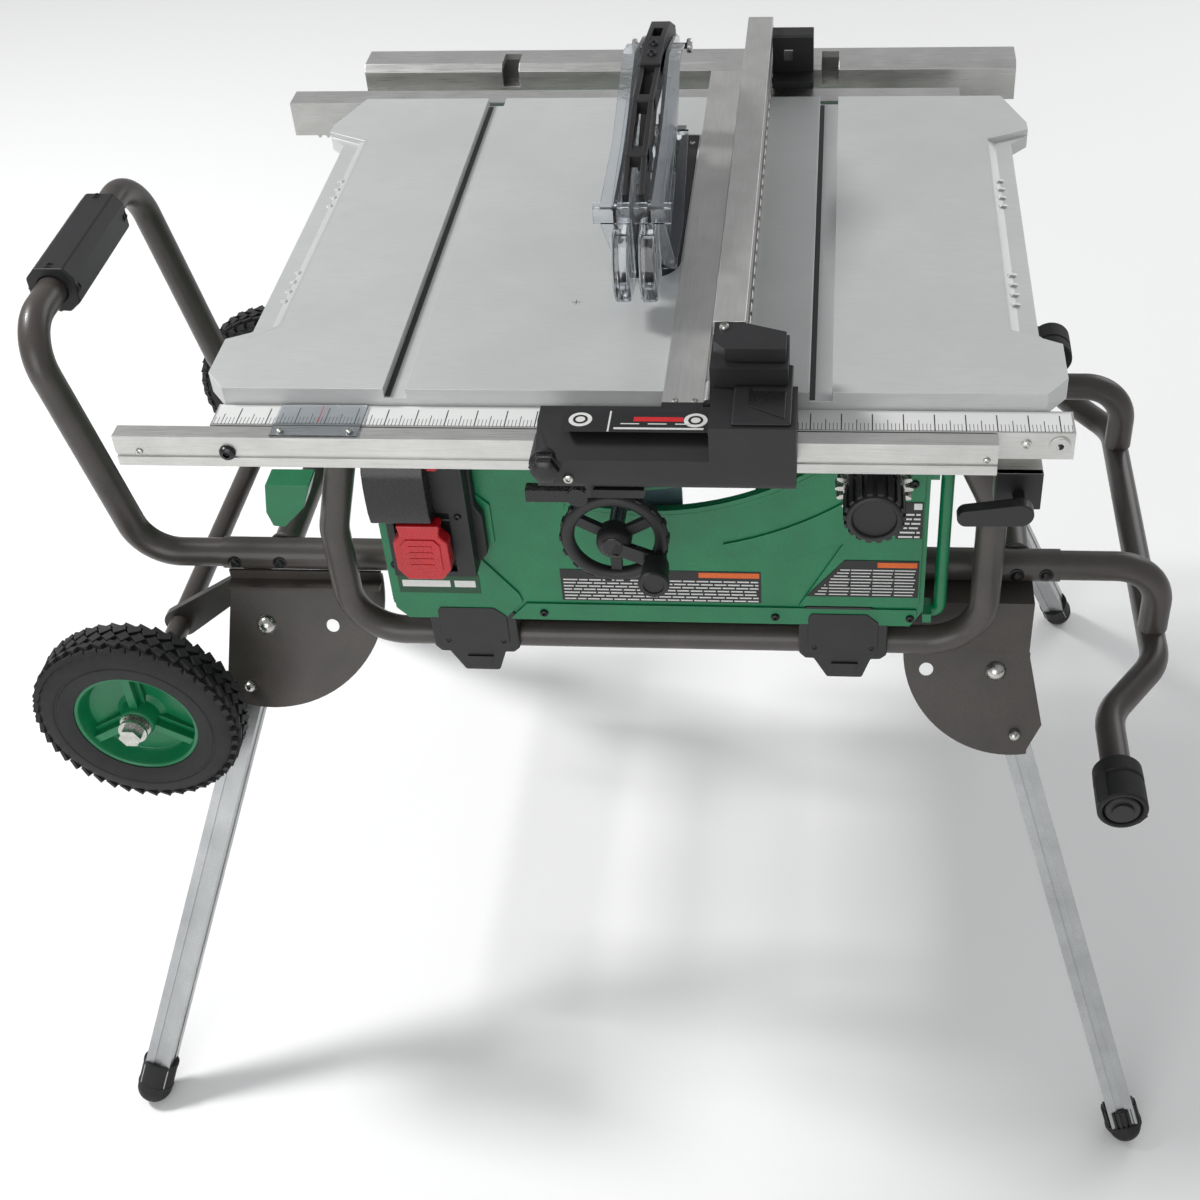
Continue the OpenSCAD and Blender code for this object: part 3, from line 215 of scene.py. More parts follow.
def clear_sheet(name):
    """Polycarbonate: clear with a cool tint, its faces rippled by the mould."""
    material, tree, shader = surface(name, "#eef2f6", Roughness=0.06, IOR=1.585, Transmission_Weight=1.0)
    place = add(tree, "ShaderNodeTexCoord")
    ripple = add(tree, "ShaderNodeTexNoise", links={"Vector": place.outputs["Object"]},
                 inputs={"Scale": 1000 / 14, "Detail": 2})
    bump = add(tree, "ShaderNodeBump", links={"Height": ripple.outputs["Fac"]},
               inputs={"Strength": 0.35, "Distance": 0.0006})
    tree.links.new(bump.outputs[0], shader.inputs["Normal"])
    return material


def printed_tape(name, start, edge):
    """White tape with black ticks: one each 3.175 mm, longer ones at each half and whole 25.4 mm."""
    material, tree, shader = surface(name, "#d9dad8", Roughness=0.4)
    place = add(tree, "ShaderNodeTexCoord")
    split = add(tree, "ShaderNodeSeparateXYZ", links={"Vector": place.outputs["Object"]})
    along = add(tree, "ShaderNodeMath", links={0: split.outputs["X"]}, inputs={1: start},
                operation="SUBTRACT")
    across = add(tree, "ShaderNodeMath", links={0: split.outputs["Y"]}, inputs={1: edge},
                 operation="SUBTRACT")
    ink = None
    for pitch, width, reach in ((0.003175, 0.0005, 0.008), (0.0127, 0.0007, 0.013), (0.0254, 0.001, 0.021)):
        turns = add(tree, "ShaderNodeMath", links={0: along.outputs[0]}, inputs={1: pitch},
                    operation="DIVIDE")
        phase = add(tree, "ShaderNodeMath", links={0: turns.outputs[0]}, operation="FRACT")
        tick = add(tree, "ShaderNodeMath", links={0: phase.outputs[0]}, inputs={1: width / pitch},
                   operation="LESS_THAN")
        near = add(tree, "ShaderNodeMath", links={0: across.outputs[0]}, inputs={1: reach},
                   operation="LESS_THAN")
        both = add(tree, "ShaderNodeMath", links={0: tick.outputs[0], 1: near.outputs[0]},
                   operation="MULTIPLY")
        ink = both if ink is None else add(tree, "ShaderNodeMath", links={0: ink.outputs[0],
                1: both.outputs[0]},
                                           operation="MAXIMUM")
    shade = add(tree, "ShaderNodeMix", links={"Factor": ink.outputs[0]}, data_type="RGBA")
    shade.inputs[6].default_value = linear("#d9dad8")
    shade.inputs[7].default_value = linear("#1b1b1b")
    tree.links.new(shade.outputs[2], shader.inputs["Base Color"])
    return material


polycarbonate = clear_sheet("clear_polycarbonate")
saw_plate = ground_disc("ground_saw_plate", middle("blade"))
tape_lo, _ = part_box("scale_tape")
scale_print = printed_tape("printed_scale_tape", DATUM.x, tape_lo.y + 0.001)


# ---- Shapes ----

def place_mesh(name, bm, material, body, bevel=0.0, sharp=32):
    """Makes the shape an object that rides on a body, with smooth faces between its sharp edges."""
    bmesh.ops.recalc_face_normals(bm, faces=bm.faces)
    return mesh_object(name, bm, material, body, bevel, sharp)


def mesh_object(name, bm, material, body, bevel=0.0, sharp=32):
    for face in bm.faces:
        face.smooth = True
    for edge in bm.edges:
        edge.smooth = len(edge.link_faces) == 2 and edge.calc_face_angle(0) < math.radians(sharp)
    mesh = bpy.data.meshes.new(name)
    bm.to_mesh(mesh)
    bm.free()
    mesh.materials.append(material)
    piece = bpy.data.objects.new(name, mesh)
    scene.collection.objects.link(piece)
    if bevel:
        edge = piece.modifiers.new("edges", "BEVEL")
        edge.width = bevel / 1000
        edge.segments = 2
        edge.limit_method = "ANGLE"
        edge.angle_limit = math.radians(38)
        edge.harden_normals = True
    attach(piece, body)
    return piece


def soften(node, body, material, bevel, sharp=32):
    """A copy of a CAD node whose edges are rounded. It stands for that node."""
    bm = bmesh.new()
    bm.from_mesh(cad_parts[node].data)
    bmesh.ops.remove_doubles(bm, verts=bm.verts, dist=0.00001)
    bmesh.ops.dissolve_limit(bm, angle_limit=math.radians(1.5), verts=bm.verts, edges=bm.edges)
    piece = mesh_object(node + "_moulded", bm, material, body, bevel, sharp)
    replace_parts(piece, node)
    return piece


def turn_to(axis):
    return axis.normalized().to_track_quat("Z", "Y").to_matrix().to_4x4()


def add_lathe(bm, profile, place, steps=48):
    """Spins a profile of (radius, height) in millimetres about Z, then puts it at place."""
    verts = [bm.verts.new((r / 1000, 0, h / 1000)) for r, h in profile]
    edges = [bm.edges.new(pair) for pair in zip(verts, verts[1:])]
    spun = bmesh.ops.spin(bm, geom=verts + edges, cent=(0, 0, 0), axis=(0, 0, 1), angle=2 * math.pi,
                          steps=steps, use_merge=True)
    made = {v for e in edges for f in e.link_faces for v in f.verts}
    frontier = set(made)
    while frontier:
        frontier = {v for q in frontier for e in q.link_edges for v in e.verts} - made
        made |= frontier
    bmesh.ops.transform(bm, matrix=place, verts=list(made))
    live = [v for v in made if v.is_valid]
    bmesh.ops.remove_doubles(bm, verts=live, dist=0.000005)


def lathe(name, profile, centre, axis, material, body, steps=48, bevel=0.0):
    bm = bmesh.new()
    add_lathe(bm, profile, Matrix.Translation(centre) @ turn_to(axis), steps)
    return place_mesh(name, bm, material, body, bevel)


def add_block(bm, lo, hi, turn=None):
    """A box between two corners, in millimetres from the datum, turned about its middle if asked."""
    a, b = at(*lo), at(*hi)
    size = Matrix.Diagonal((*(b - a), 1))
    bmesh.ops.create_cube(bm, size=1, matrix=Matrix.Translation((a + b) / 2) @ (turn or Matrix()) @ size)


def block(name, lo, hi, material, body, bevel=0.6, turn=None):
    bm = bmesh.new()
    add_block(bm, lo, hi, turn)
    return place_mesh(name, bm, material, body, bevel)


def add_prism(bm, points, depth, place):
    """A flat outline in millimetres, pushed out along Z by depth."""
    face = bm.faces.new([bm.verts.new(place @ Vector((x / 1000, y / 1000, 0))) for x, y in points])
    grown = bmesh.ops.extrude_face_region(bm, geom=[face])
    push = place.to_3x3() @ Vector((0, 0, depth / 1000))
    bmesh.ops.translate(bm, vec=push, verts=[v for v in grown["geom"] if isinstance(v, bmesh.types.BMVert)])


def prism(name, points, depth, place, material, body, bevel=0.6):
    bm = bmesh.new()
    add_prism(bm, points, depth, place)
    return place_mesh(name, bm, material, body, bevel)


def add_arc(bm, centre, inner, outer, front, back, start, end, steps=40):
    """A square section swung about a point of the front plane.

    Sizes are in millimetres, and angles in degrees from straight down.
    """
    face = bm.faces.new([bm.verts.new(at(centre[0], y, centre[1] - r)) for r, y in
                         ((inner, front), (outer, front), (outer, back), (inner, back))])
    pivot = at(centre[0], 0, centre[1])
    bmesh.ops.rotate(bm, cent=pivot, matrix=Matrix.Rotation(-math.radians(start), 3, "Y"),
                     verts=face.verts[:])
    bmesh.ops.spin(bm, geom=[face], cent=pivot, axis=-Y, angle=math.radians(end - start), steps=steps)


# Places: Z of the shape faces the operator with X right and Y up (FACING),
# or runs along the rails with X back and Y up (ALONG)
FACING = Matrix(((1, 0, 0, 0), (0, 0, -1, 0), (0, 1, 0, 0), (0, 0, 0, 1)))
ALONG = Matrix(((0, 0, 1, 0), (1, 0, 0, 0), (0, 1, 0, 0), (0, 0, 0, 1)))


def facing(x, y, z):
    return Matrix.Translation(at(x, y, z)) @ FACING


def add_screw(bm, centre, axis, r):
    """Pan head with a driven socket."""
    add_lathe(bm, [(r, -0.2 * r), (r, 0.25 * r), (0.86 * r, 0.52 * r), (0.55 * r, 0.68 * r),
                   (0.42 * r, 0.7 * r),
                   (0.36 * r, 0.3 * r), (0, 0.25 * r)], Matrix.Translation(centre) @ turn_to(axis), 24)


def screws(name, spots, axis, r, material, body):
    bm = bmesh.new()
    for spot in spots:
        add_screw(bm, spot, axis, r)
    return place_mesh(name, bm, material, body)


def finish_node(node, material):
    """A CAD node whose shape is right gets its material."""
    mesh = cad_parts[node].data
    mesh.materials.clear()
    mesh.materials.append(material)


# ---- Stand ----

for node in ("stand_frame", "pull_handle", "end_loop", "base_cage", "axle_brackets"):
    finish_node(node, powder_coat)
finish_node("axle", zinc)
finish_node("leg_pivot_bolts", zinc)
for corner in ("front_left", "rear_left", "front_right", "rear_right"):
    finish_node("lock_button_" + corner, zinc)
soften("leg_plates", "stand", sheet_coat, 0.8)

# Clamps that hold the saw's cage: a chamfered cover with a thumb tab over a saddle on the stand's tube
bm = bmesh.new()
lips = bmesh.new()
for x in (-212, 142):
    cover = [(0, -270), (7, -262), (68, -262), (84, -277), (84, -322), (78, -328), (69, -328), (61, -352),
             (27, -352),
             (14, -328), (6, -328), (0, -321)]
    lip = [(9, -275), (12, -270), (64, -270), (75, -280), (75, -314), (71, -318), (13, -318), (9, -314)]
    for y in (62, 508):
        add_prism(bm, [(x + a, b) for a, b in cover], 32, Matrix.Translation(at(0, y, 0)) @ FACING)
    add_block(bm, (x + 4, 60, -318), (x + 80, 129, -265))
    add_block(bm, (x + 4, 409, -318), (x + 80, 478, -265))
    add_prism(lips, [(x + a, b) for a, b in lip], 1.6, Matrix.Translation(at(0, 30.2, 0)) @ FACING)
    add_prism(lips, [(x + a, b) for a, b in ((31, -332), (57, -332), (52, -347), (36, -347))], 2.4,
              Matrix.Translation(at(0, 30.2, 0)) @ FACING)
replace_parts(place_mesh("clamp_covers", bm, black_coat, "stand", 2.0), "saw_clamps")
place_mesh("clamp_panels", lips, black_coat, "stand", 0.8)
screws("clamp_screws", [at(x + a, 30, -313) for x in (-212, 142) for a in (15, 69)], -Y, 3.2, dark_zinc,
       "stand")
for side, lean_y in (("left", 17.2), ("right", -17.2)):
    for end, lean_x in (("front", -26.5), ("rear", 26.5)):
        soften("leg_%s_%s" % (end, side), "%s_%s_leg" % (end, side),
               drawn_aluminium("drawn_aluminium_%s_%s" % (end, side),
                               (math.radians(lean_x), math.radians(-lean_y), 0)), 0.8)

# Moulded grip: two shells screwed round the tube, with a rib at each end
soften("handle_grip", "stand", nylon, 3.0)
grip = middle("handle_grip")
bm = bmesh.new()
for s in (-1, 1):
    for h in (66, 71):
        add_lathe(bm, [(22, -1), (25.5, -0.8), (25.5, 0.8), (22, 1)],
                  Matrix.Translation(grip + Y * (s * h / 1000)) @ turn_to(Y), 8)
place_mesh("grip_end_ribs", bm, nylon, "stand", 0.4)
screws("grip_screws", [grip + Vector((-0.0215, s * 0.045, 0.008)) for s in (-1, 1)], -X, 4, dark_zinc,
       "stand")

# Capped horns of the end loop: a cup with a notch in its rim and a plug set in
caps_lo, caps_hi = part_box("loop_caps")
cap_x, cap_z = (caps_lo.x + caps_hi.x) / 2, (caps_lo.z + caps_hi.z) / 2
bm = bmesh.new()
plugs = bmesh.new()
for s, y in ((-1, caps_lo.y), (1, caps_hi.y)):
    spot = Matrix.Translation((cap_x, y, cap_z)) @ turn_to(Y * s)
    add_lathe(bm, [(13.6, -55), (21, -55), (22.6, -53), (23, -40), (23, -37), (21.6, -36), (21.6, -33),
                   (23, -32),
                   (23, -6), (21.5, -4), (19, -4), (18, -5.5), (18, -12), (13.6, -12)], spot, 64)
    add_lathe(plugs, [(0, -1.5), (9, -1.5), (10, -2.5), (10, -4.5), (15, -4.5), (16.4, -6), (16.4, -14),
                      (0, -14)],
              spot, 48)
    for a in (35, 215):
        arm = Matrix.Translation((cap_x, y - s * 0.022, cap_z)) @ Matrix.Rotation(math.radians(a), 4, "Y")
        bmesh.ops.create_cube(bm, size=1, matrix=arm @ Matrix.Translation((0.0225, 0, 0))
                              @ Matrix.Diagonal((0.004, 0.03, 0.012, 1)))
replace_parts(place_mesh("horn_caps", bm, rubber, "stand", 0.4), "loop_caps")
place_mesh("horn_plugs", plugs, nylon, "stand", 0.3)

# Spring pins that hold the end loops in the long tubes, and the washers round them
tube_lo, tube_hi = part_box("stand_frame")
tube_z = (tube_lo.z + tube_hi.z) / 2
pins = []
for x in (tube_lo.x + 0.014, tube_hi.x - 0.014, tube_lo.x + 0.06, tube_hi.x - 0.042):
    for y, s in ((tube_lo.y + 0.016, -1), (tube_hi.y - 0.016, 1)):
        pins.append((Vector((x, y, tube_z)) + Vector((0, s * 0.0155, 0)), Y * s))
bm = bmesh.new()
for spot, out in pins:
    add_lathe(bm, [(7, 0), (7, 1), (5, 1.4), (4.6, 3.2), (3, 4.6), (0, 5)],
              Matrix.Translation(spot) @ turn_to(out), 24)
place_mesh("spring_pins", bm, dark_zinc, "stand")

# Welds where tubes meet, each a lumpy bead
bm = bmesh.new()
for y in (tube_lo.y + 0.016, tube_hi.y - 0.016):
    inward = 1 if y < (tube_lo.y + tube_hi.y) / 2 else -1
    for x in (-376, 350):
        spot = Matrix.Translation(Vector((DATUM.x + x / 1000, y + inward * 0.0115,
                                          tube_z))) @ turn_to(Y * inward)
        add_lathe(bm, [(13.8, -2), (16.4, -1), (17, 1), (16, 3.2), (13.8, 4)], spot, 40)
place_mesh("tube_welds", bm, powder_coat, "stand")

# Rubber feet: a ribbed collar over a round sole
for corner, body in (("front_left", "front_left_leg"), ("rear_left", "rear_left_leg"),
                     ("rear_right", "rear_right_leg")):
    soften("foot_" + corner, body, rubber, 1.0)
finish_node("levelling_foot", rubber)


feet = (("foot_front_left", -1, -1, "front_left_leg"), ("foot_rear_left", -1, 1, "rear_left_leg"),
        ("foot_rear_right", 1, 1, "rear_right_leg"), ("levelling_foot", 1, -1, "screw_foot"))
for node, side, end, body in feet:
    lo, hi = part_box(node)
    lean, rake = math.radians(26.5), math.radians(17.2)
    up = Vector((-side * math.sin(rake), -end * math.cos(rake) * math.sin(lean),
                 math.cos(rake) * math.cos(lean)))
    r = 0.0185
    sole = Vector((hi.x - r if side > 0 else lo.x + r, hi.y - r if end > 0 else lo.y + r, lo.z + 0.017))
    spot = Matrix.Translation(sole) @ turn_to(up)
    bm = bmesh.new()
    if node == "levelling_foot":
        add_lathe(bm, [(18.4, 0), (19.1, 0.6), (19.4, 2), (19.1, 5), (18.4, 5.4)], spot, 64)
        for k in range(22):
            rib = spot @ Matrix.Rotation(k * 2 * math.pi / 22, 4, "Z") @ Matrix.Translation((0.0165, 0,
                    0.0145))
            bmesh.ops.create_cube(bm, size=1, matrix=rib @ Matrix.Diagonal((0.004, 0.0028, 0.018, 1)))
        add_lathe(bm, [(9, 5.6), (16.6, 5.6), (16.6, 24), (15, 25.5), (14.4, 25.5)], spot, 48)
        place_mesh("levelling_foot_collar", bm, nylon, body, 0.3)
    else:
        add_lathe(bm, [(18.3, 3), (19, 3.4), (19.2, 5), (19, 6.6), (18.3, 7)], spot, 64)
        add_lathe(bm, [(18.3, 29), (18.9, 29.4), (19.1, 31.5), (18.9, 34), (18, 34.3)], spot, 64)
        place_mesh(node + "_beads", bm, rubber, body)

# ---- Wheels ----

for name, out in (("front", -1), ("rear", 1)):
    centre = middle("tyre_" + name)
    body = name + "_wheel"
    hub = Matrix.Translation(centre) @ turn_to(Y * out)
    bm = bmesh.new()
    add_lathe(bm, [(60, -15), (61, -18.5), (66, -20.5), (74, -21.6), (84, -21.6), (91, -20), (95.5, -17.5),
                   (97.4, -13),
                   (98, -6), (98.2, 0), (98, 6), (97.4, 13), (95.5, 17.5), (91, 20), (84, 21.6), (80, 21.8),
                   (79, 21),
                   (77, 21), (76, 21.8), (70, 21.2), (66, 20.5), (61, 18.5), (60, 15)], hub, 120)
    carcass = place_mesh("tyre_carcass_" + name, bm, tyre_rubber, body)
    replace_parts(carcass, "tyre_" + name)
    bm = bmesh.new()
    for k in range(44):
        for across, twist, length, width, half in ((0, 45, 9.6, 9.6, 0.5), (-10.4, 24, 12.4, 6.6, 0),
                                                   (10.4, -24, 12.4, 6.6, 0),
                                                   (-17.2, -20, 11.6, 5.0, 0.5), (17.2, 20, 11.6, 5.0, 0.5)):
            lug = (hub @ Matrix.Rotation((k + half) * 2 * math.pi / 44, 4, "Z")
                   @ Matrix.Translation((0.0989 if abs(across) < 15 else 0.0963, 0, across / 1000))
                   @ Matrix.Rotation(math.radians(0.9 * across * (abs(across) > 9)), 4, "Y")
                   @ Matrix.Rotation(math.radians(twist), 4, "X"))
            bmesh.ops.create_cube(bm, size=1, matrix=lug @ Matrix.Diagonal((0.0052, length / 1000,
                    width / 1000, 1)))
    place_mesh("tyre_tread_" + name, bm, tyre_rubber, body, 0.5)
    bm = bmesh.new()
    add_lathe(bm, [(8.1, -21), (16, -21), (17, -19), (18, -6), (52, -3), (57, -14), (61.5, -17), (62, -15),
                   (62, 15),
                   (61.5, 17), (59.5, 17.6), (57.5, 16.6), (56, 14), (53.5, 3), (51, 0), (24, -2), (19, 2),
                   (17.4, 16),
                   (16, 18.4), (8.1, 18.4)], hub, 96)
    for k in range(3):
        turn = hub @ Matrix.Rotation(math.radians(90 + 120 * k), 4, "Z")
        spoke = turn @ Matrix.Translation((0.0355, 0, 0.0055))
        bmesh.ops.create_cube(bm, size=1, matrix=spoke @ Matrix.Diagonal((0.041, 0.0088, 0.015, 1)))
        for s in (-1, 1):
            web = turn @ Matrix.Translation((0.0355, s * 0.0065, 0.0015))
            bmesh.ops.create_cube(bm, size=1, matrix=web @ Matrix.Diagonal((0.041, 0.005, 0.006, 1)))
    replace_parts(place_mesh("spoked_rim_" + name, bm, rim_green, body, 0.8), "rim_" + name)
    bm = bmesh.new()
    add_lathe(bm, [(8.2, 18.5), (15, 18.5), (15, 20.2), (8.2, 20.2)], hub, 48)
    place_mesh("hub_washer_" + name, bm, zinc, body)

# ---- Housing ----

soften("housing", "stand", green_abs, 1.4)
soften("side_hook", "stand", green_abs, 0.6)
finish_node("bevel_cradle", slate_paint)

# Two raised lips that follow the front opening
OPENING = (4, 108)  # middle of the front opening's arc
FRONT = 32  # the housing's front face
LIP = 5  # a lip's width
bm = bmesh.new()
for radius, out in ((262, 4.0), (268, 2.4)):
    add_arc(bm, OPENING, radius - LIP, radius, FRONT - out, FRONT, -16.2, 40.8)
place_mesh("opening_lips", bm, green_abs, "stand", 0.7)

# Bevel scale behind the opening: a printed strip over a toothed arc, about the line the blade tilts on
bm = bmesh.new()
add_arc(bm, (0, 0), 108, 129.5, 39, 40, -40, 30)
place_mesh("bevel_scale", bm, scale_film, "cradle")
bm = bmesh.new()
for k in range(69):
    a = math.radians(-39 + k)
    length = 0.013 if k % 5 == 4 else 0.009
    tick = Matrix.Translation(at(0, 38.6, 0)) @ Matrix.Rotation(-a, 4, "Y")
    bmesh.ops.create_cube(bm, size=1, matrix=tick @ Matrix.Translation((0, 0, -0.1285 + length / 2))
                          @ Matrix.Diagonal((0.0008, 0.0006, length, 1)))
place_mesh("bevel_scale_ticks", bm, dark_zinc, "cradle")
bm = bmesh.new()
add_arc(bm, (0, 0), 129.3, 132.4, 37, 42, -40, 30)
place_mesh("bevel_scale_lip", bm, green_abs, "cradle", 0.4)

# Labels: plain film with a coloured head and ruled bars where print would be
def label(name, lo, hi, head, body, y, bars=6, head_side="top"):
    (x0, z0), (x1, z1) = lo, hi
    block(name, (x0, y - 0.5, z0), (x1, y + 0.3, z1), black_label, body, 0.15)
    top = 0.2 * (z1 - z0)
    wide = 0.3 * (x1 - x0)
    block(name + "_head", (x1 - 1.5 - wide, y - 0.8, z1 - top), (x1 - 1.5, y, z1 - 1.5), head, body, 0.1)
    bm = bmesh.new()
    step = (z1 - z0 - top - 3) / bars
    for k in range(bars):
        z, x = z0 + 1.6 + k * step, x0 + 2.5
        while x < x1 - 4:
            run = 7 + (5 * x + 11 * k) % 9
            add_block(bm, (x, y - 0.8, z), (min(x + run, x1 - 2.5), y, z + step * 0.36))
            x += run + 1.6
    place_mesh(name + "_bars", bm, white_label, body)


label("lower_label", (-81, -260), (107, -222), orange_label, "stand", 32, 7)
# Moulded relief on the housing's front: the switch's island, a sill, and the field beyond the opening's dish
island = [(-243, -90), (-173, -90), (-173, -106), (-160, -118), (-150, -134), (-138, -146), (-138, -190),
          (-158, -204),
          (-122, -252), (-119, -262), (-138, -284), (-232, -284), (-243, -272)]
sill = [(-116, -264), (252, -264), (252, -272), (246, -284), (-134, -284)]
DISH = 304  # radius of the dish round the opening
dish = [(OPENING[0] + DISH * math.sin(a), OPENING[1] - DISH * math.cos(a))
        for a in (math.radians(13 + 3 * k) for k in range(12))]
field = dish + [(250, -96), (254, -104), (254, -256), (250, -261), (142, -261), (182, -186), (96, -219)]
for name, outline in (("switch_island", island), ("housing_sill", sill), ("housing_field", field)):
    prism(name, outline, 2.2, facing(0, 32, 0), green_abs, "stand", 1.0)
label("maker_plate", (229, -178), (253, -136), white_label, "stand", 29.8, 6)
prism("side_label", [(149, -248), (252, -248), (252, -204), (184, -204)], 0.8, facing(0, 29.9, 0),
      black_label, "stand",
      0.15)
block("side_label_head", (214, 28.8, -212), (250, 29.8, -206), orange_label, "stand", 0.1)
bm = bmesh.new()
for k in range(9):
    z = -245.5 + k * 3.7
    for x in range(5):
        left = max(157 + k * 2.9, 150 + x * 20)
        if left < 166 + x * 20 + k % 3:
            add_block(bm, (left, 28.9, z), (min(249, 167 + x * 20 + k % 3), 29.8, z + 1.1))
place_mesh("side_label_bars", bm, white_label, "stand")
block("plain_badge", (-236, 29.1, -252), (-158, 30, -229), badge_green, "stand", 0.3)
block("badge_bar", (-232, 28.7, -244), (-186, 29.3, -236), white_label, "stand", 0.2)
block("badge_square", (-182, 28.7, -244), (-162, 29.3, -236), white_label, "stand", 0.2)
block("yellow_mark", (-140, 31.2, -84), (-112, 32.2, -66), yellow_label, "stand", 0.2)

# Ribs, screws and louvres on the housing
bm = bmesh.new()
for k in range(9):
    add_block(bm, (-246.5, 90 + 14 * k, -150), (-240, 96 + 14 * k, -70))
    add_block(bm, (253, 330 + 14 * k, -190), (259.5, 336 + 14 * k, -90))
for k in range(8):
    add_block(bm, (-170 + 16 * k, 498, -170), (-163 + 16 * k, 502, -90))
place_mesh("housing_louvres", bm, green_abs, "stand", 0.8)
screws("housing_screws", [at(x, 29.6, z) for x, z in ((-236, -218), (246, -274), (-100, -275), (120, -275),
                                                      (244, -116))],
       -Y, 4, dark_zinc, "stand")
screws("housing_back_screws", [at(x, 500.4, z) for x in (-232, 0, 246) for z in (-60, -255)], Y, 4,
       dark_zinc, "stand")
bm = bmesh.new()
add_lathe(bm, [(28.9, -1), (33.2, -1), (33.8, 0), (33.8, 3), (33.2, 4), (28.9, 4)],
          Matrix.Translation(at(60, 536, -215)) @ turn_to(Y), 64)
for k in range(3):
    add_lathe(bm, [(31.6, -0.7), (32.5, 0), (31.6, 0.7)], Matrix.Translation(at(60, 508 + 7 * k,
            -215)) @ turn_to(Y), 64)
place_mesh("port_beads", bm, nylon, "stand")
lathe("power_inlet", [(0, 0), (16, 0), (16, 3), (12, 4), (11, 26), (8.5, 27), (7.5, 24), (0, 23)],
      at(-150, 499, -215), Y, nylon, "stand", 48, 0.3)

# ---- Table ----

soften("table", "stand", table_alloy, 1.0)
soften("throat_plate", "stand", nylon, 0.4)
bm = bmesh.new()
for s in (-1, 1):
    for base in (150, 330):
        for k in range(4):
            turn = Matrix.Rotation(math.radians(s * 32), 4, "Y") @ Matrix.Rotation(math.radians(s * 34), 4,
                    "Z")
            y = base + 17 * k
            add_block(bm, (s * 335 - 11, y - 1.8, -9.4), (s * 335 + 11, y + 1.8, -6.2), turn)
place_mesh("side_ribs", bm, table_alloy, "stand", 0.5)
bm = bmesh.new()
for s in (-1, 1):
    add_block(bm, (s * 321 - 0.5, 98, -0.15), (s * 321 + 0.5, 459, 0.12))
for x0, y0, x1, y1 in ((321, 98, 347, 76), (321, 459, 347, 481)):
    for s in (-1, 1):
        a, b = Vector((s * x0, y0)), Vector((s * x1, y1))
        mid, run = (a + b) / 2, b - a
        turn = Matrix.Rotation(math.atan2(run.y, run.x), 4, "Z")
        add_block(bm, (mid.x - run.length / 2, mid.y - 0.5, -0.15), (mid.x + run.length / 2, mid.y + 0.5,
                                                                     0.12), turn)
place_mesh("table_creases", bm, table_alloy, "stand")
screws("throat_screws", [at(-22, 214, -0.9), at(20, 214, -0.9), at(-24, 452, -0.9), at(22, 452, -0.9)], Z, 3,
       zinc,
       "stand")
lathe("throat_finger_hole", [(0, -4), (7, -4), (8, -0.2), (9.4, 0.1), (9.4, 0.3), (7.6, 0.2), (6.6, -3.4),
                             (0, -3.4)],
      at(-17, 434, 0), Z, smooth_nylon, "stand", 40)
bm = bmesh.new()
for x, y in ((52, 300), (-60, 140)):
    add_block(bm, (x - 4, y - 0.3, -0.1), (x + 4, y + 0.3, 0.12))
    add_block(bm, (x - 0.3, y - 4, -0.1), (x + 0.3, y + 4, 0.12))
place_mesh("table_marks", bm, dark_zinc, "stand")

# Painted shadow: dark black-coat strips on the mitre slots' floors along their left walls, standing in for
# the shade those walls cast
bm = bmesh.new()
for x in (-198, 161):
    add_block(bm, (x - 9.2, 2, -8.95), (x - 4.8, 556, -8.2))
place_mesh("slot_wall_painted_shadows", bm, black_coat, "stand")

# ---- Rails and fence ----

finish_node("scale_tape", scale_print)
soften("front_guide_rail", "stand", anodised, 0.5)
soften("front_slide_rail", "rails", anodised, 0.5)
soften("rear_slide_rail", "rails", anodised, 0.5)
soften("outfeed_support", "outfeed", anodised, 0.6)
soften("fence_beam", "rails", fence_metal, 0.8)
soften("fence_shelf", "shelf", fence_metal, 0.5)
soften("fence_head", "rails", nylon, 1.8)
soften("fence_rear_bracket", "rails", nylon, 0.8)
soften("fence_latch", "fence_catch", nylon, 1.0)
soften("rail_lock_lever", "rail_lock", black_coat, 1.2)
finish_node("pinion_shaft", zinc)

block("lock_hanger_cover", (307.6, -27.5, -98.4), (346.4, -20.6, -61), black_coat, "stand", 0.8)
lathe("rail_end_pad", [(3.2, -0.5), (8.4, -0.5), (8.4, 0.8), (7.4, 1.4), (3.6, 1.4), (3.2, 0.6)],
      at(356, -31.6, -29), -Y,
      white_nylon, "stand", 40)
screws("rail_end_screw", [at(329, -31.2, -28)], -Y, 3.6, zinc, "stand")
screws("rail_stop_screw", [at(-334, -50, -31)], -Y, 7.0, smooth_nylon, "rails")
screws("rail_screws", [at(-410, -50, -31), at(296, -50, -31)], -Y, 3.0, zinc, "rails")

# Stowage hook under the table's left side
prism("left_hook", [(-345, -130), (-350, -162), (-346, -178), (-335, -179), (-313, -156), (-303, -130)], 26,
      facing(0, 60, 0), green_abs, "stand", 1.6)

# Clear cursor over the scale, with a red hairline and its two screws
block("cursor_plate", (-296, -49, -15.6), (-221, -4, -13.9), polycarbonate, "rails", 0.4)
block("cursor_hairline", (-259, -30, -13.95), (-258.4, -6, -13.8), red_label, "rails", 0.0)
screws("cursor_screws", [at(-288, -42, -13.9), at(-229, -42, -13.9)], Z, 3, zinc, "rails")

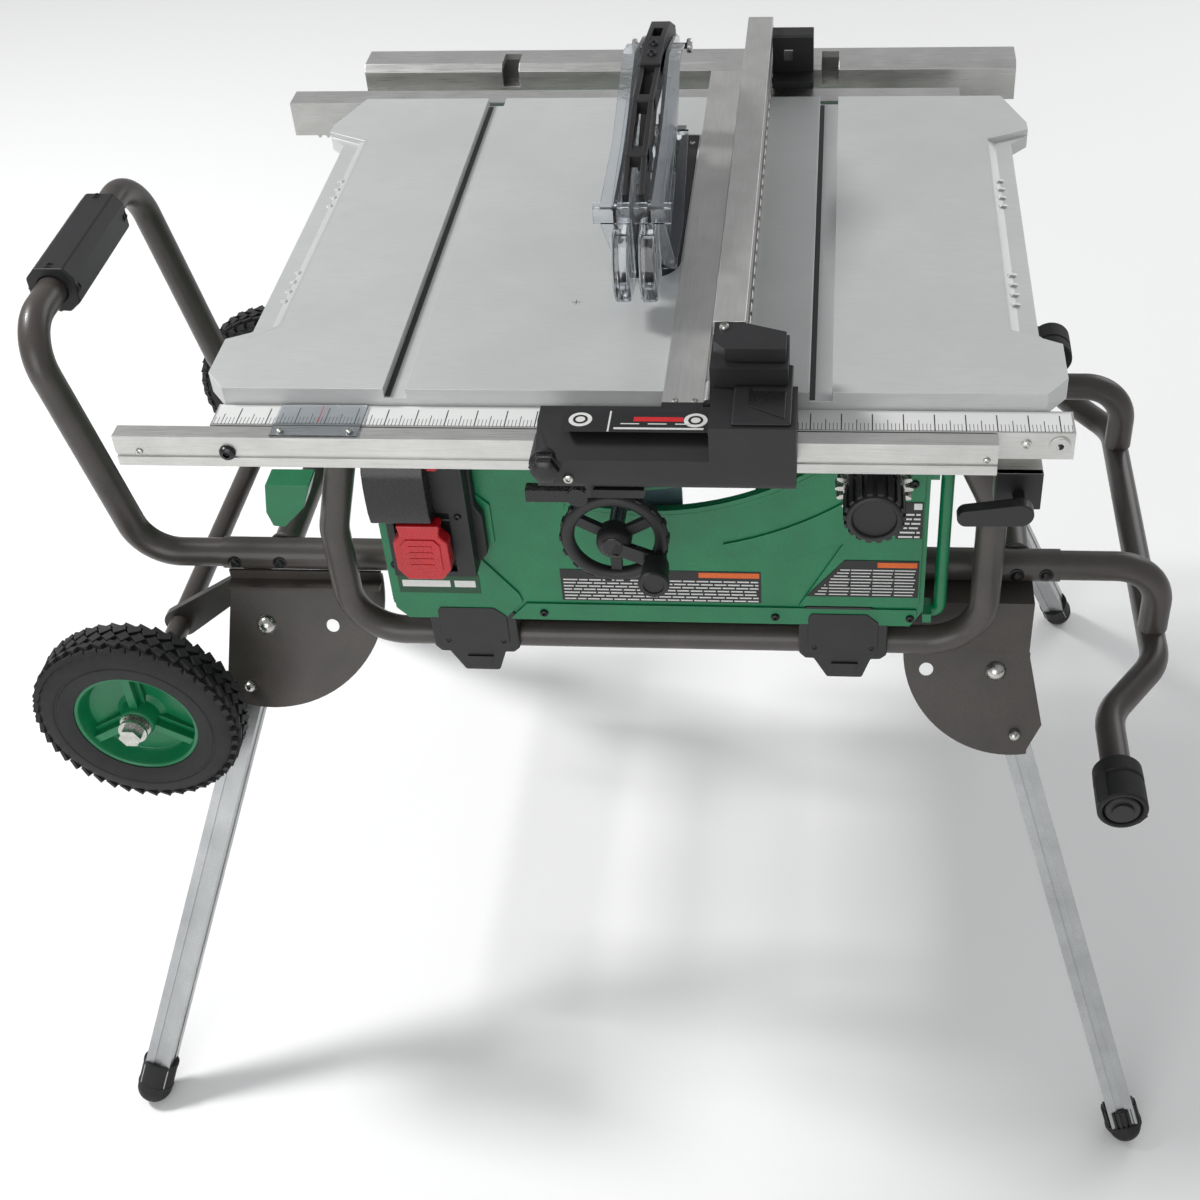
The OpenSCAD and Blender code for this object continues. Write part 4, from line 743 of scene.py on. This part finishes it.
# Fence head: sunk label, corner ribs, screws and the hook for the shelf
block("fence_label", (-45, -76, 12.1), (73, -48, 12.7), black_label, "rails", 0.1)
for k, x in enumerate((-31, 62)):
    lathe("fence_label_disc_%d" % k, [(0, 12.6), (9.5, 12.6), (9.5, 12.9), (0, 12.9)], at(x, -60, 0), Z,
          white_label,
          "rails", 40)
    lathe("fence_label_ring_%d" % k, [(4, 12.9), (6, 12.9), (6, 13.1), (4, 13.1)], at(x, -60, 0), Z,
          dark_zinc, "rails",
          32)
bm = bmesh.new()
for x in (-8, 73):
    add_block(bm, (x, -76, 12.6), (x + 1.4, -48, 12.9))
add_block(bm, (-3, -73, 12.6), (69, -70.6, 12.9))
for k in range(3):
    add_block(bm, (2 + 22 * k, -66, 12.6), (17 + 22 * k, -64.8, 12.9))
place_mesh("fence_label_lines", bm, white_label, "rails")
block("fence_label_bar", (12, -62, 12.6), (52, -56, 12.95), red_label, "rails", 0.1)
bm = bmesh.new()
for k in range(4):
    turn = Matrix.Rotation(math.radians(-45), 4, "Z")
    add_block(bm, (112 + 6 * k - 9, -78 + 5 * k - 0.8, 25.6), (112 + 6 * k + 9, -78 + 5 * k + 0.8, 27.4),
              turn)
place_mesh("fence_corner_ribs", bm, smooth_nylon, "rails", 0.3)
prism("fence_cover", [(rx, ry) for rx, ry in ((92, -86), (139, -86), (139, -2), (92, -2))], 3.0,
      Matrix.Translation(at(0, 0, 25.6)), nylon, "rails", 1.4)
prism("fence_cover_panel", [(104, -36), (108, -42), (134, -42), (134, -80), (104, -62)], 1.0,
      Matrix.Translation(at(0, 0, 28.4)), smooth_nylon, "rails", 0.4)
screws("fence_screws", [at(82, -6, 44.2), at(82, 10, 56.2)], Z, 4.2, zinc, "rails")
screws("shelf_screws", [at(42, -21, 3.6), at(58, -21, 3.6)], Z, 3.4, zinc, "shelf")
block("shelf_end", (31, -31, 0.8), (66, -23.6, 5.4), nylon, "shelf", 0.5)
screws("fence_front_screws", [at(-58, -89.8, -14), at(-40, -89.8, -24)], -Y, 4.4, zinc, "rails")
lathe("fence_roller", [(0, 0), (8, 0), (12, 2), (12, 7), (14, 8), (14, 12), (0, 12)], at(-58, -98, -14), Y,
      smooth_nylon,
      "rails", 6, 0.6)
bm = bmesh.new()
for k in range(26):
    add_lathe(bm, [(0, 0), (2.6, 0), (2.6, 1), (0, 1)], Matrix.Translation(at(98.8, 60 + 21 * k,
            12)) @ turn_to(X), 16)
place_mesh("fence_rivets", bm, zinc, "rails")

# Rip knob: fluted, with a rim round its sunk face
knob_lo, knob_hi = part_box("rip_knob")
knob = Vector(((knob_lo.x + knob_hi.x) / 2, knob_lo.y, (knob_lo.z + knob_hi.z) / 2))
bm = bmesh.new()
add_lathe(bm, [(6.1, -36), (23.2, -36), (23.8, -34), (23.8, -3), (22.8, -1), (21, 0), (19.5, 0), (18.6, -1),
               (18, -3.4),
               (0, -4)], Matrix.Translation(knob) @ turn_to(-Y), 72)
for k in range(18):
    rib = Matrix.Translation(knob) @ turn_to(-Y) @ Matrix.Rotation(k * 2 * math.pi / 18, 4, "Z")
    bmesh.ops.create_cube(bm, size=1, matrix=rib @ Matrix.Translation((0.0236, 0, -0.0185))
                          @ Matrix.Diagonal((0.005, 0.0052, 0.032, 1)))
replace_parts(place_mesh("fluted_knob", bm, nylon, "pinions", 0.6), "rip_knob")
lathe("pinion_bush", [(6.4, -4), (24, -4), (27, -1), (27, 0.5), (22, 1.5), (18, 7), (12, 12), (10, 18),
                      (6.4, 18)],
      at(207, 31, -83.75), -Y, smooth_nylon, "stand", 64, 0.4)

# ---- Blade and guard ----

finish_node("blade", saw_plate)
finish_node("arbor", zinc)
soften("riving_knife", "lift", saw_plate, 0.3)
soften("guard_carrier", "lift", nylon, 0.8)
soften("guard_link", "guard_arms", smooth_nylon, 0.4)
soften("guard_left", "left_guard", polycarbonate, 0.5)
soften("guard_right", "right_guard", polycarbonate, 0.5)
soften("arbor_block", "lift", as_cast, 1.4)
finish_node("lift_screw", zinc)
soften("bevel_lock_lever", "bevel_lock", smooth_nylon, 1.4)

bm = bmesh.new()
tips = middle("blade")
for k in range(24):
    tip = Matrix.Translation(tips) @ Matrix.Rotation(-k * 2 * math.pi / 24, 4, "X")
    bmesh.ops.create_cube(bm, size=1, matrix=tip @ Matrix.Translation((0, 0.0009, 0.1236))
                          @ Matrix.Diagonal((0.0031, 0.0022, 0.0062, 1)))
place_mesh("carbide_tips", bm, dark_zinc, "spindle", 0.15)
screws("carrier_bolts", [at(9, 415, 120), at(9, 452, 112)], X, 4.4, zinc, "lift")
for side, s in (("left", -1), ("right", 1)):
    bm = bmesh.new()
    for y0, z0, y1, z1 in ((120, 104, 300, 138), (150, 70, 340, 108), (176, 36, 330, 76), (196, 16, 300,
            44)):
        run = Vector((0, y1 - y0, z1 - z0))
        turn = Matrix.Rotation(math.atan2(run.z, run.y), 4, "X")
        mid = ((y0 + y1) / 2, (z0 + z1) / 2)
        add_block(bm, (s * 17.4 - 1.6, mid[0] - run.length / 2, mid[1] - 0.9),
                  (s * 17.4 + 1.6, mid[0] + run.length / 2, mid[1] + 0.9), turn)
    place_mesh("guard_ribs_" + side, bm, polycarbonate, side + "_guard", 0.3)
# Guard yoke: a moulded fork over the clear covers, with a holed block on top, and the covers' thick nose caps
yoke = [(118, 118), (150, 131), (240, 150), (330, 150), (410, 132), (436, 124), (436, 112), (410, 114),
        (330, 134),
        (240, 134), (156, 117), (124, 106)]
bm = bmesh.new()
for x in (-9.5, 4.5):
    add_prism(bm, yoke, 5, Matrix.Translation(at(x, 0, 0)) @ ALONG)
add_block(bm, (-9.5, 300, 137), (9.5, 362, 153))
add_block(bm, (-9.5, 158, 122), (9.5, 176, 134))
add_block(bm, (-9.5, 232, 136), (9.5, 246, 149))
place_mesh("guard_yoke", bm, nylon, "guard_arms", 1.2)
screws("yoke_holes", [at(0, 320, 153), at(0, 342, 153)], Z, 4.4, smooth_nylon, "guard_arms")
nose = [(96, 26), (90, 44), (94, 68), (106, 86), (128, 92), (140, 84), (140, 30), (128, 22)]
for side, s in (("left", -1), ("right", 1)):
    prism("guard_nose_" + side, nose, 15, Matrix.Translation(at(s * 11.5 - 7.5, 0, 0)) @ ALONG,
          polycarbonate,
          side + "_guard", 3.0)
lathe("guard_pin_head", [(0, 0), (6, 0), (7, 1), (7, 4), (6, 5), (0, 5)], at(24, 415, 120), X, zinc,
      "guard_arms", 32)
lathe("guard_pin_nut", [(0, 0), (6, 0), (7, 1), (7, 4), (6, 5), (0, 5)], at(-24, 415, 120), -X, zinc,
      "guard_arms", 6)

# Motor: ribbed barrel with a vented end bell and a brush cap
soften("motor", "lift", black_coat, 2.0)
bm = bmesh.new()
for k in range(20):
    fin = Matrix.Translation(at(-138, 330, -72)) @ Matrix.Rotation(k * math.pi / 10, 4, "X")
    bmesh.ops.create_cube(bm, size=1, matrix=fin @ Matrix.Translation((0, 0, 0.0462)) @ Matrix.Diagonal(
        (0.112, 0.0026, 0.0042, 1)))
place_mesh("motor_fins", bm, black_coat, "lift", 0.4)
bm = bmesh.new()
for k in range(12):
    vent = Matrix.Translation(at(-218.2, 330, -72)) @ Matrix.Rotation(k * math.pi / 6, 4, "X")
    bmesh.ops.create_cube(bm, size=1, matrix=vent @ Matrix.Translation((0, 0, 0.026)) @ Matrix.Diagonal(
        (0.0014, 0.004, 0.018, 1)))
place_mesh("motor_vents", bm, dark_zinc, "lift", 0.3)

# ---- Handwheel ----

wheel = at(-15, -39, -125)
spin = Matrix.Translation(wheel) @ turn_to(-Y)
bm = bmesh.new()
ring = [(41 + 6.2 * math.cos(a), 6.2 * math.sin(a)) for a in (math.radians(30 * k) for k in range(13))]
add_lathe(bm, ring, spin, 96)
add_lathe(bm, [(0, 15.5), (9, 15.5), (13, 13), (15, 9), (15.5, -4), (12, -8), (7, -9), (7, -36), (0, -36)],
          spin, 48)
for k in range(3):
    arm = spin @ Matrix.Rotation(math.radians(30 + 120 * k), 4, "Z") @ Matrix.Translation((0.0255, 0,
            -0.001))
    bmesh.ops.create_cube(bm, size=1, matrix=arm @ Matrix.Diagonal((0.026, 0.0098, 0.0066, 1)))
for k in range(18):
    grip_rib = spin @ Matrix.Rotation(math.radians(20 * k), 4, "Z") @ Matrix.Translation((0.0468, 0, 0))
    bmesh.ops.create_cube(bm, size=1, matrix=grip_rib @ Matrix.Diagonal((0.002, 0.006, 0.0085, 1)))
place_mesh("hand_ring", bm, nylon, "height_wheel", 0.5)
bm = bmesh.new()
reach = spin @ Matrix.Rotation(math.atan2(-16, 37), 4, "Z")
bmesh.ops.create_cube(bm, size=1, matrix=reach @ Matrix.Translation((0.020, 0, 0.0125)) @ Matrix.Diagonal(
    (0.040, 0.014, 0.007, 1)))
add_lathe(bm, [(0, 9), (10.5, 9), (10.5, 15), (9, 16), (0, 16)], spin, 40)
add_lathe(bm, [(0, 9), (9, 9), (9, 15), (8, 16), (4, 16), (4, 37), (0, 37)],
          reach @ Matrix.Translation((0.0403, 0, 0)), 40)
crank = place_mesh("crank_arm", bm, smooth_nylon, "height_wheel", 0.8)
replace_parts(crank, "handwheel")
lathe("handwheel_shaft", [(0, 0), (7, 0), (7, -205), (8, -206), (12, -216), (0, -216)], at(-15, -28, -125),
      -Y, zinc,
      "height_wheel", 40)
spinner = lathe("spinning_knob", [(4.2, 0), (9.5, 0), (11, 1.5), (11.8, 8), (12, 22), (13.4, 25), (13.6, 28),
                                  (12.4, 30),
                                  (9, 30), (8.4, 28.6), (0, 28)], at(22, -55, -141), -Y, nylon, "spin_knob",
                48)
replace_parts(spinner, "crank_knob")

# ---- Switch ----

soften("switch_box", "stand", nylon, 2.0)
pad = [(-216, -139), (-214, -150), (-221, -158), (-221, -189), (-212, -201), (-180, -201), (-171, -189),
       (-171, -158),
       (-178, -150), (-176, -139)]
paddle = prism("rocking_paddle", pad, 15, facing(0, 3, 0), red_abs, "paddle", 2.0)
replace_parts(paddle, "switch_paddle")
prism("paddle_face", [(-214, -160), (-209, -154), (-183, -154), (-178, -160), (-178, -188), (-183, -194),
                      (-209, -194),
                      (-214, -188)], 1.6, facing(0, -11.8, 0), red_abs, "paddle", 0.7)
bm = bmesh.new()
for k in range(4):
    add_block(bm, (-207, -14.2, -163 - 7 * k), (-185, -12.6, -160.4 - 7 * k))
place_mesh("paddle_ridges", bm, red_abs, "paddle", 0.6)
lid = [(9, -72), (-8, -73), (-12.2, -80), (-14.4, -92), (-15, -108), (-14.4, -124), (-11.5, -136),
       (-4, -141.5),
       (9, -141.5)]
prism("switch_lid", lid, 55, Matrix.Translation(at(-237.5, 0, 0)) @ ALONG, smooth_nylon, "stand", 1.2)
block("lid_hinge", (-182, -4, -84), (-172, 5, -76), red_abs, "stand", 1.5)
block("lid_stop", (-240, -2, -84), (-236, 5, -76), red_abs, "stand", 1.0)
prism("switch_flank", [(-170, -76), (-158, -76), (-150, -98), (-150, -140), (-144, -152), (-144, -196),
                       (-152, -206),
                       (-168, -206)], 12, facing(0, 32, 0), nylon, "stand", 1.6)
screws("switch_screws", [at(-162, 4, -84), at(-162, 4, -140)], -Y, 3.4, dark_zinc, "stand")

# ---- Stage ----

floor_bm = bmesh.new()
bmesh.ops.create_grid(floor_bm, x_segments=2, y_segments=2, size=15)
floor_mesh = bpy.data.meshes.new("floor")
floor_bm.to_mesh(floor_mesh)
floor_bm.free()
floor_mesh.materials.append(surface("plain_floor", "#fbfbfa", Roughness=0.9)[0])
floor = bpy.data.objects.new("floor", floor_mesh)
scene.collection.objects.link(floor)


def soft_light(name, place, aim, size, power):
    data = bpy.data.lights.new(name, "AREA")
    data.size = size
    data.energy = power
    lamp = bpy.data.objects.new(name, data)
    lamp.location = place
    lamp.rotation_euler = (Vector(aim) - Vector(place)).to_track_quat("-Z", "Y").to_euler()
    scene.collection.objects.link(lamp)


soft_light("key", (-2.6, 0.3, 3.5), (0, 0, 0.7), 0.7, 120)
soft_light("fill", (-0.6, -3.4, 1.5), (0, 0, 0.5), 2.2, 40)
soft_light("back", (2.2, 2.6, 2.0), (0, 0, 0.7), 1.8, 22)
world = bpy.data.worlds.new("studio")
world.use_nodes = True
world.node_tree.nodes["Background"].inputs[0].default_value = linear("#fbfcff")
world.node_tree.nodes["Background"].inputs[1].default_value = 0.42
scene.world = world
scene.view_settings.view_transform = "Standard"
